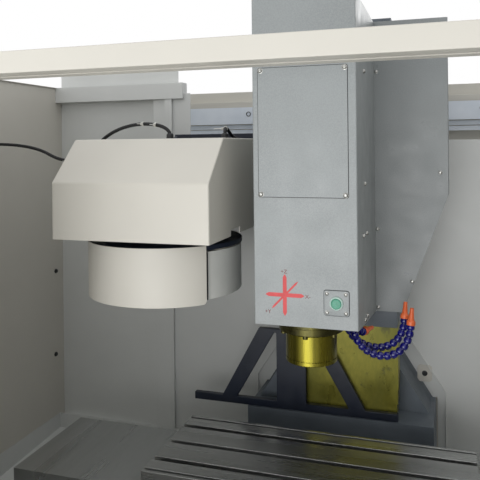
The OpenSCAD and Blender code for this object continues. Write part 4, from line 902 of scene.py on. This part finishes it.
class CENTRE_OT_conduits(bpy.types.Operator):
    """Ribbed cable conduits over the magazine, with their glands and ties"""

    bl_idname = "centre.conduits"
    bl_label = "Cable conduits"

    def execute(self, context):
        for number, run in enumerate(CONDUITS, 1):
            self.conduit(f"cable_conduit_{number}", run, context.scene.centre_sizes.conduit)
        self.glands()
        self.ties()
        return {"FINISHED"}

    def conduit(self, name, run, diameter):
        """Tube whose radius is smaller at every other point, which gives its ribs."""
        step, groove = 1.6, 0.86
        dense = [bezier(stretch, i / 400) for stretch in run for i in range(401)]
        points = [dense[0]]
        for q in dense:
            if (q - points[-1]).length >= step:
                points.append(q)
        points.append(dense[-1])
        curve = bpy.data.curves.new(name, "CURVE")
        curve.dimensions = "3D"
        curve.bevel_depth = diameter / 2
        curve.bevel_resolution = 2
        curve.use_fill_caps = True
        spline = curve.splines.new("POLY")
        spline.points.add(len(points) - 1)
        for k, q in enumerate(points):
            spline.points[k].co = (*at(q.x, q.y, q.z + MAGAZINE_TOP), 1)
            spline.points[k].radius = 1.0 if k % 2 else groove
        obj = bpy.data.objects.new(name, curve)
        bpy.context.scene.collection.objects.link(obj)
        only(obj)
        bpy.ops.object.convert(target="MESH")
        show(smooth(newest(name), 60), "machine", "black_rubber", ["cable_conduits"])

    def glands(self):
        """Nut and cap where each conduit leaves the magazine's cover."""
        glands = []
        for run in CONDUITS:
            foot = at(*run[0][0][:2], MAGAZINE_TOP)
            nut = turned("gland_nut", (
                (0, 0), (11.2, 0), (11.5, 0.5), (11.5, 6), (10.8, 6.8), (0, 6.8)), foot, UP, 6)
            cap = turned("gland_cap", (
                (0, 6.8), (9.6, 6.8), (9.9, 8), (9.9, 13), (8.6, 16), (6.4, 17.5), (0, 17.5)), foot, UP, 24)
            glands += [smooth(nut, 25), smooth(cap, 35)]
        show(joined("cable_glands", glands), "machine", "black_plastic")

    def ties(self):
        """Cable ties: a band, its lock and the loose tail."""
        band = turned("tie", ((5.2, -2.6), (7.0, -2.6), (7.0, 2.6), (5.2, 2.6), (5.2, -2.6)), steps=24)
        lock = block("lock", (6.2 * MM, -3.4 * MM, -3.4 * MM), (12 * MM, 3.4 * MM, 3.4 * MM))
        tail = block("tail", (11 * MM, -0.8 * MM, -2.4 * MM), (33 * MM, 0.8 * MM, 2.4 * MM))
        tie = joined("tie", [band, soften(lock, 0.8 * MM), soften(tail, 0.3 * MM)])
        copies = repeated(tie, [on_curve(curve, t, MAGAZINE_TOP) for curve, t in TIES])
        discard(tie)
        show(joined("cable_ties", copies), "machine", "tie_white")


# Fittings of the enclosure


class CENTRE_OT_fittings(bpy.types.Operator):
    """Wall bolts, cable trough, control box fittings, window seals, screws, plug and cabinet locks"""

    bl_idname = "centre.fittings"
    bl_label = "Fittings"

    def execute(self, context):
        self.bolts()
        self.trough()
        self.control_box()
        self.window_seals()
        self.motor_plug()
        self.outer_screws()
        self.cabinet_locks()
        return {"FINISHED"}

    def bolts(self):
        """Hexagon bolts with washers on the panels, and the plate behind one of them."""
        places = [(at(-1157.8, y, z), RIGHT) for y, z in ((594.4, 54.3), (588.5, -276.2), (590, 380))]
        places += [(at(-308, 619.8, -370), FRONT), (at(258, 616.8, -222), FRONT)]
        washer = turned("washer", ((0, 0), (9, 0), (9, 1.2), (8.4, 1.6), (0, 1.6)), steps=32)
        head = turned("bolt", ((0, 1.4), (7.2, 1.4), (7.5, 1.8), (7.5, 5.6), (6.4, 6.6), (0, 6.8)), steps=6)
        bolt = joined("bolt", [smooth(washer, 35), smooth(head, 25)])
        copies = repeated(bolt, [stand(place, axis) for place, axis in places])
        discard(bolt)
        show(joined("panel_bolts", copies), "machine", "motor_black")
        plate = block("bolt_plate", at(234, 616.8, -250), at(282, 620, -194))
        round_edges(plate, lambda a, b: abs(a.y - b.y) > MM, 12 * MM, 6)
        show(soften(plate, 0.8 * MM), "machine", "cream_paint")

    def trough(self):
        """Lids of the cable trough behind the magazine, with its grommets."""
        lids = []
        front = 895.5
        for low, high, y in ((637, 706, front), (617, 634, 917), (597, 614, 917)):
            lid = block("lid", at(-756, y, low), at(740, y + 1.6, high))
            pick(lid, "FACE", lambda c, n: n.z > FACING or n.z < -FACING)
            bpy.ops.mesh.extrude_region_move()
            leave()
            lids.append(soften(lid, 0.6 * MM))
        show(joined("cable_trough_lids", lids), "machine", "trough_paint")
        rings = []
        for x in (-436, -136, 164, 464):
            rings.append(turned("grommet", (
                (7, 0), (10, 0), (10, 1.6), (9.2, 2.4), (7.8, 2.4), (7, 1.6), (7, 0)),
                at(x, front, 678), FRONT, 32))
            smooth(rings[-1], 50)
        show(joined("trough_grommets", rings), "machine", "gear_plastic")

    def control_box(self):
        """Screen, keys, collar of the stop button, ring of the start button and marks of the knob."""
        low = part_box("control_box")[0]
        face = low.y + 5 * MM
        top = low.z + 560 * MM
        screen = block("screen", (low.x + 51 * MM, face + 1.2 * MM, top - 269 * MM),
                       (low.x + 329 * MM, face + 4 * MM, top - 51 * MM))
        sink(screen, 9 * MM, 1.4 * MM)
        show(soften(screen, 0.5 * MM), "control_box", "screen_glass")
        # name, finish, number of columns and place of the first one
        for name, finish, columns, first in (
                ("light_keys", "key_light", 9, 10), ("dark_keys", "key_dark", 4, 232)):
            key = block("key", (0, 0.3 * MM, 0), (19 * MM, 2 * MM, 14 * MM))
            sink(key, 1.2 * MM, 0.5 * MM)
            soften(key, 0.4 * MM)
            copies = repeated(key, [Matrix.Translation(
                (low.x + (50 + first + 23.5 * i) * MM, face, low.z + (190 + 19 * j) * MM))
                for i in range(columns) for j in range(4)])
            discard(key)
            show(joined(name, copies), "control_box", finish)
        stop, knob, start = middle("emergency_stop"), middle("override_knob"), middle("start_button")
        collar = turned("stop_collar", (
            (20.5, -0.5), (26.4, -0.5), (26.4, 0.1), (25.8, 0.4), (21, 0.4), (20.5, 0.1), (20.5, -0.5)),
            (stop.x, low.y, stop.z), FRONT)
        show(smooth(collar, 40), "control_box", "collar_yellow")
        ring = turned("start_ring", (
            (10.6, -0.5), (14, -0.5), (14, 1.2), (13, 2), (11.4, 2), (10.6, 1.2), (10.6, -0.5)),
            (start.x, face, start.z), FRONT)
        show(smooth(ring, 40), "control_box", "ground_steel")
        marks = []
        for k in range(11):
            reach = 25 if k % 5 else 28
            mark = block("mark", (-0.7 * MM, -0.35 * MM, 20 * MM), (0.7 * MM, 0.2 * MM, reach * MM))
            mark.matrix_world = (Matrix.Translation((knob.x, face, knob.z))
                                 @ Matrix.Rotation(math.radians(27 * (k - 5)), 4, "Y"))
            marks.append(soften(settle(mark), 0.1 * MM))
        show(joined("knob_marks", marks), "control_box", "key_dark")

    def window_seals(self):
        """Rubber seals around the panes of the doors."""
        width = 13 * MM
        for side in ("left", "right"):
            low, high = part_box("window_" + side)
            seal = block("window_seal_" + side, (low.x, low.y - 2.2 * MM, low.z),
                         (high.x, low.y - 0.1 * MM, high.z))
            cut(seal, block("pane", (low.x + width, low.y - 9 * MM, low.z + width),
                            (high.x - width, high.y, high.z - width)))
            show(soften(seal, 0.9 * MM), side + "_door", "black_rubber")

    def motor_plug(self):
        """Round plug under the X axis motor."""
        low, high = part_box("x_servo_motor")
        plug = turned("plug_x", (
            (0, -1), (15, -1), (15, 3), (12.4, 3.4), (12.4, 12), (13.6, 12.4), (13.6, 17), (9, 19),
            (0, 19.4)), (high.x - 36 * MM, (low.y + high.y) / 2, low.z + 0.1 * MM), DOWN, 32)
        show(smooth(plug, 35), "saddle", "black_plastic")

    def outer_screws(self):
        """Low domed screws along the edges of the apron and the front panels."""
        low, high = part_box("front_apron")
        apron = [(x, z) for x in (-1.135, -0.7, -0.25, 0.25, 0.7, 1.135)
                 for z in (low.z + 0.03, high.z - 0.024)]
        panels = [(x, z) for x in (-1.135, -0.585, 0.585, 1.135) for z in (high.z + 0.03, high.z + 0.94)]
        screw = turned("outer_screw", (
            (0, -1), (5.5, -1), (5.5, 0.3), (4.6, 1.2), (2.4, 1.5), (2.2, 0.6), (0, 0.6)), steps=24)
        smooth(screw, 40)
        copies = repeated(screw, [stand((x, low.y, z), FRONT) for x, z in apron + panels])
        discard(screw)
        show(joined("outer_screws", copies), "machine", "screw_zinc")

    def cabinet_locks(self):
        """Quarter-turn locks on the free edge of the cabinet's door."""
        low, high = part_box("cabinet_door")
        x, y = high.x - 40 * MM, high.y
        from_end = 0.18
        half = 8.2 * MM
        locks = []
        for z in (low.z + from_end, (low.z + high.z) / 2, high.z - from_end):
            lock = turned("lock", (
                (0, -1), (15, -1), (15, 1), (14, 2), (9.2, 2.2), (8.8, 0.4), (0, 0.4)), (x, y, z), BACK, 40)
            bar = block("bar", (x - half, y - 1 * MM, z - 1.6 * MM), (x + half, y + 1.8 * MM, z + 1.6 * MM))
            locks += [smooth(lock, 35), soften(bar, 0.5 * MM)]
        show(joined("cabinet_locks", locks), "rear_door", "black_plastic")


# Everything else keeps its solid's shape, with rounded edges of a width in millimetres

CARRIED = {
    "base": ("casting_paint", 2.0), "levelling_feet": ("screw_zinc", 0.8), "column": ("casting_paint", 2.0),
    "servo_motors": ("motor_black", 1.0), "brace_frame": ("frame_paint", 2.0),
    "way_covers_fixed": ("oily_cover", 0.4), "rear_wall": ("wall_paint", 0.6),
    "side_panel_left": ("cream_paint", 0.6), "side_panel_right": ("cream_paint", 0.6),
    "front_panel_left": ("cream_paint", 2.5), "front_panel_right": ("cream_paint", 2.5),
    "front_apron": ("cream_paint", 1.5), "header_beam": ("cream_paint", 2.5),
    "chip_pans": ("wall_paint", 0.8), "coolant_tank": ("wall_paint", 2.0),
    "electrical_cabinet": ("cream_paint", 2.0), "cabinet_equipment": ("gear_grey", 1.0),
    "cabinet_door": ("cream_paint", 1.5), "main_switch": ("stop_red", 1.2),
    "magazine_arm": ("frame_paint", 1.5), "magazine_carriage": ("frame_paint", 1.2),
    "tool_disc": ("ground_steel", 0.8), "tool_grippers": ("gear_plastic", 0.8),
    "saddle": ("casting_paint", 1.5), "y_covers_saddle": ("cover_steel", 0.4),
    "y_covers_middle": ("cover_steel", 0.4), "x_servo_motor": ("motor_black", 1.0),
    "x_screw": ("ground_steel", 0.5), "y_screw": ("ground_steel", 0.5), "z_screw": ("ground_steel", 0.5),
    "table": ("ground_steel", 0.6), "x_way_covers": ("cover_steel", 0.4), "headstock": ("casting_paint", 1.5),
    "z_cover_upper": ("oily_cover", 0.4), "z_cover_middle": ("oily_cover", 0.4),
    "spindle_motor": ("motor_black", 1.0),
    "door_left": ("cream_paint", 1.5), "door_right": ("cream_paint", 1.5),
    "window_left": ("clear_pane", 0.5), "window_right": ("clear_pane", 0.5),
    "control_box": ("box_grey", 1.5), "emergency_stop": ("stop_red", 1.5),
    "handwheel": ("black_plastic", 1.2), "override_knob": ("black_plastic", 1.0),
    "start_button": ("start_green", 0.8),
}


class CENTRE_OT_carried(bpy.types.Operator):
    """The other parts of the machine, each a copy of its solid with rounded edges and its finish"""

    bl_idname = "centre.carried"
    bl_label = "Machine parts"

    def execute(self, context):
        for node, (finish, width) in CARRIED.items():
            solid = frame["nodes"][node]
            piece = another(solid, node + "_body")
            piece.parent = None
            for key in list(piece.keys()):
                del piece[key]
            edit_all(piece)
            bpy.ops.mesh.remove_doubles(threshold=1e-5)
            bpy.ops.mesh.dissolve_limited(angle_limit=math.radians(0.6))
            leave()
            soften(piece, width * MM, 2, 30)
            show(piece, solid["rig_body"], finish, [node])
        return {"FINISHED"}


# Stage


class CENTRE_OT_stage(bpy.types.Operator):
    """Floor, lights, background and camera"""

    bl_idname = "centre.stage"
    bl_label = "Stage"

    def execute(self, context):
        scene = context.scene
        clear()
        bpy.ops.mesh.primitive_plane_add(size=30, location=(0, 0, 0))
        floor = newest("floor")
        floor.data.materials.append(
            surface("floor_paint", tint(226, 226, 224), tint(216, 216, 214), 0.8, (0.5, 0.65), 40.0, 0.2))
        self.world(scene)
        # name, place, the point that it lights, size in metres and power in watts
        for name, place, aim, size, watts in (
                ("front_left", (-2.2, -4.4, 2.0), (0, 0.2, 1.3), 3.0, 24),
                ("front_low", (-0.2, -3.2, 0.8), (-0.4, 0.5, 1.0), 2.0, 38),
                ("over_machine", (-0.3, -0.5, 4.4), (0, 0.1, 0), 2.6, 10),
                ("rear", (1.0, 4.6, 3.6), (0, 0.4, 1.2), 2.6, 40)):
            clear()
            bpy.ops.object.light_add(type="AREA", location=place)
            lamp = bpy.context.object
            lamp.name = "light_" + name
            lamp.rotation_euler = (Vector(aim) - Vector(place)).to_track_quat("-Z", "Y").to_euler()
            lamp.data.size = size
            lamp.data.energy = watts
        self.camera(scene)
        scene.view_settings.view_transform = "Standard"
        return {"FINISHED"}

    def world(self, scene):
        """White for what the camera sees directly or in gloss and glass, softer as light."""
        world = bpy.data.worlds.new("studio")
        scene.world = world
        world.use_nodes = True
        tree = world.node_tree
        ambient = tree.nodes["Background"]
        seen = tree.nodes.new("ShaderNodeBackground")
        for node, strength in ((ambient, 0.74), (seen, 1.0)):
            node.inputs["Color"].default_value = (1, 1, 1, 1)
            node.inputs["Strength"].default_value = strength
        path = tree.nodes.new("ShaderNodeLightPath")
        total = path.outputs["Is Camera Ray"]
        for key in ("Is Glossy Ray", "Is Transmission Ray"):
            either = tree.nodes.new("ShaderNodeMath")
            either.operation = "MAXIMUM"
            tree.links.new(total, either.inputs[0])
            tree.links.new(path.outputs[key], either.inputs[1])
            total = either.outputs[0]
        mix = tree.nodes.new("ShaderNodeMixShader")
        tree.links.new(total, mix.inputs["Fac"])
        tree.links.new(ambient.outputs[0], mix.inputs[1])
        tree.links.new(seen.outputs[0], mix.inputs[2])
        tree.links.new(mix.outputs[0], tree.nodes["World Output"].inputs["Surface"])

    def camera(self, scene):
        """Camera at the photograph's place and angle, for an image of 480 by 480."""
        image, sensor = 480, 36
        focal, yaw, roll, middle_row = 633.9, math.radians(-17.83), math.radians(0.601), 146.8
        ahead = Vector((math.sin(yaw), math.cos(yaw), 0))
        level = Vector((math.cos(yaw), -math.sin(yaw), 0))
        right = level * math.cos(roll) - UP * math.sin(roll)
        above = level * math.sin(roll) + UP * math.cos(roll)
        clear()
        bpy.ops.object.camera_add()
        camera = bpy.context.object
        camera.name = "camera"
        turn = Matrix((right, above, -ahead)).transposed().to_4x4()
        camera.matrix_world = Matrix.Translation(at(326.8, -1594.6, 543.9)) @ turn
        camera.data.sensor_width = sensor
        camera.data.lens = sensor * focal / image
        camera.data.shift_y = (middle_row - image / 2) / image
        camera.data.clip_start = 0.05
        scene.camera = camera


class CENTRE_PT_panel(bpy.types.Panel):
    """Sizes, colours and steps of the machining centre"""

    bl_idname = "CENTRE_PT_panel"
    bl_label = "Machining centre"
    bl_space_type = "VIEW_3D"
    bl_region_type = "UI"
    bl_category = "Machining centre"

    def draw(self, context):
        column = self.layout.column()
        for group in (context.scene.centre_sizes, context.scene.centre_colours):
            for key in group.bl_rna.properties.keys():
                if key not in ("rna_type", "name"):
                    column.prop(group, key)
        for step in STEPS:
            column.operator(step.bl_idname)


STEPS = (
    CENTRE_OT_head_cover, CENTRE_OT_head_fittings, CENTRE_OT_axis_cross, CENTRE_OT_spindle, CENTRE_OT_coolant,
    CENTRE_OT_magazine, CENTRE_OT_conduits, CENTRE_OT_fittings, CENTRE_OT_carried, CENTRE_OT_stage,
)
CLASSES = (CentreSizes, CentreColours, *STEPS, CENTRE_PT_panel)


def register():
    for cls in CLASSES:
        bpy.utils.register_class(cls)
    bpy.types.Scene.centre_sizes = bpy.props.PointerProperty(type=CentreSizes)
    bpy.types.Scene.centre_colours = bpy.props.PointerProperty(type=CentreColours)


def unregister():
    del bpy.types.Scene.centre_colours
    del bpy.types.Scene.centre_sizes
    for cls in reversed(CLASSES):
        bpy.utils.unregister_class(cls)


def main():
    """Builds the whole machine."""
    register()
    make_finishes()
    for step in STEPS:
        group, name = step.bl_idname.split(".")
        getattr(getattr(bpy.ops, group), name)()


if __name__ == "__main__":
    main()
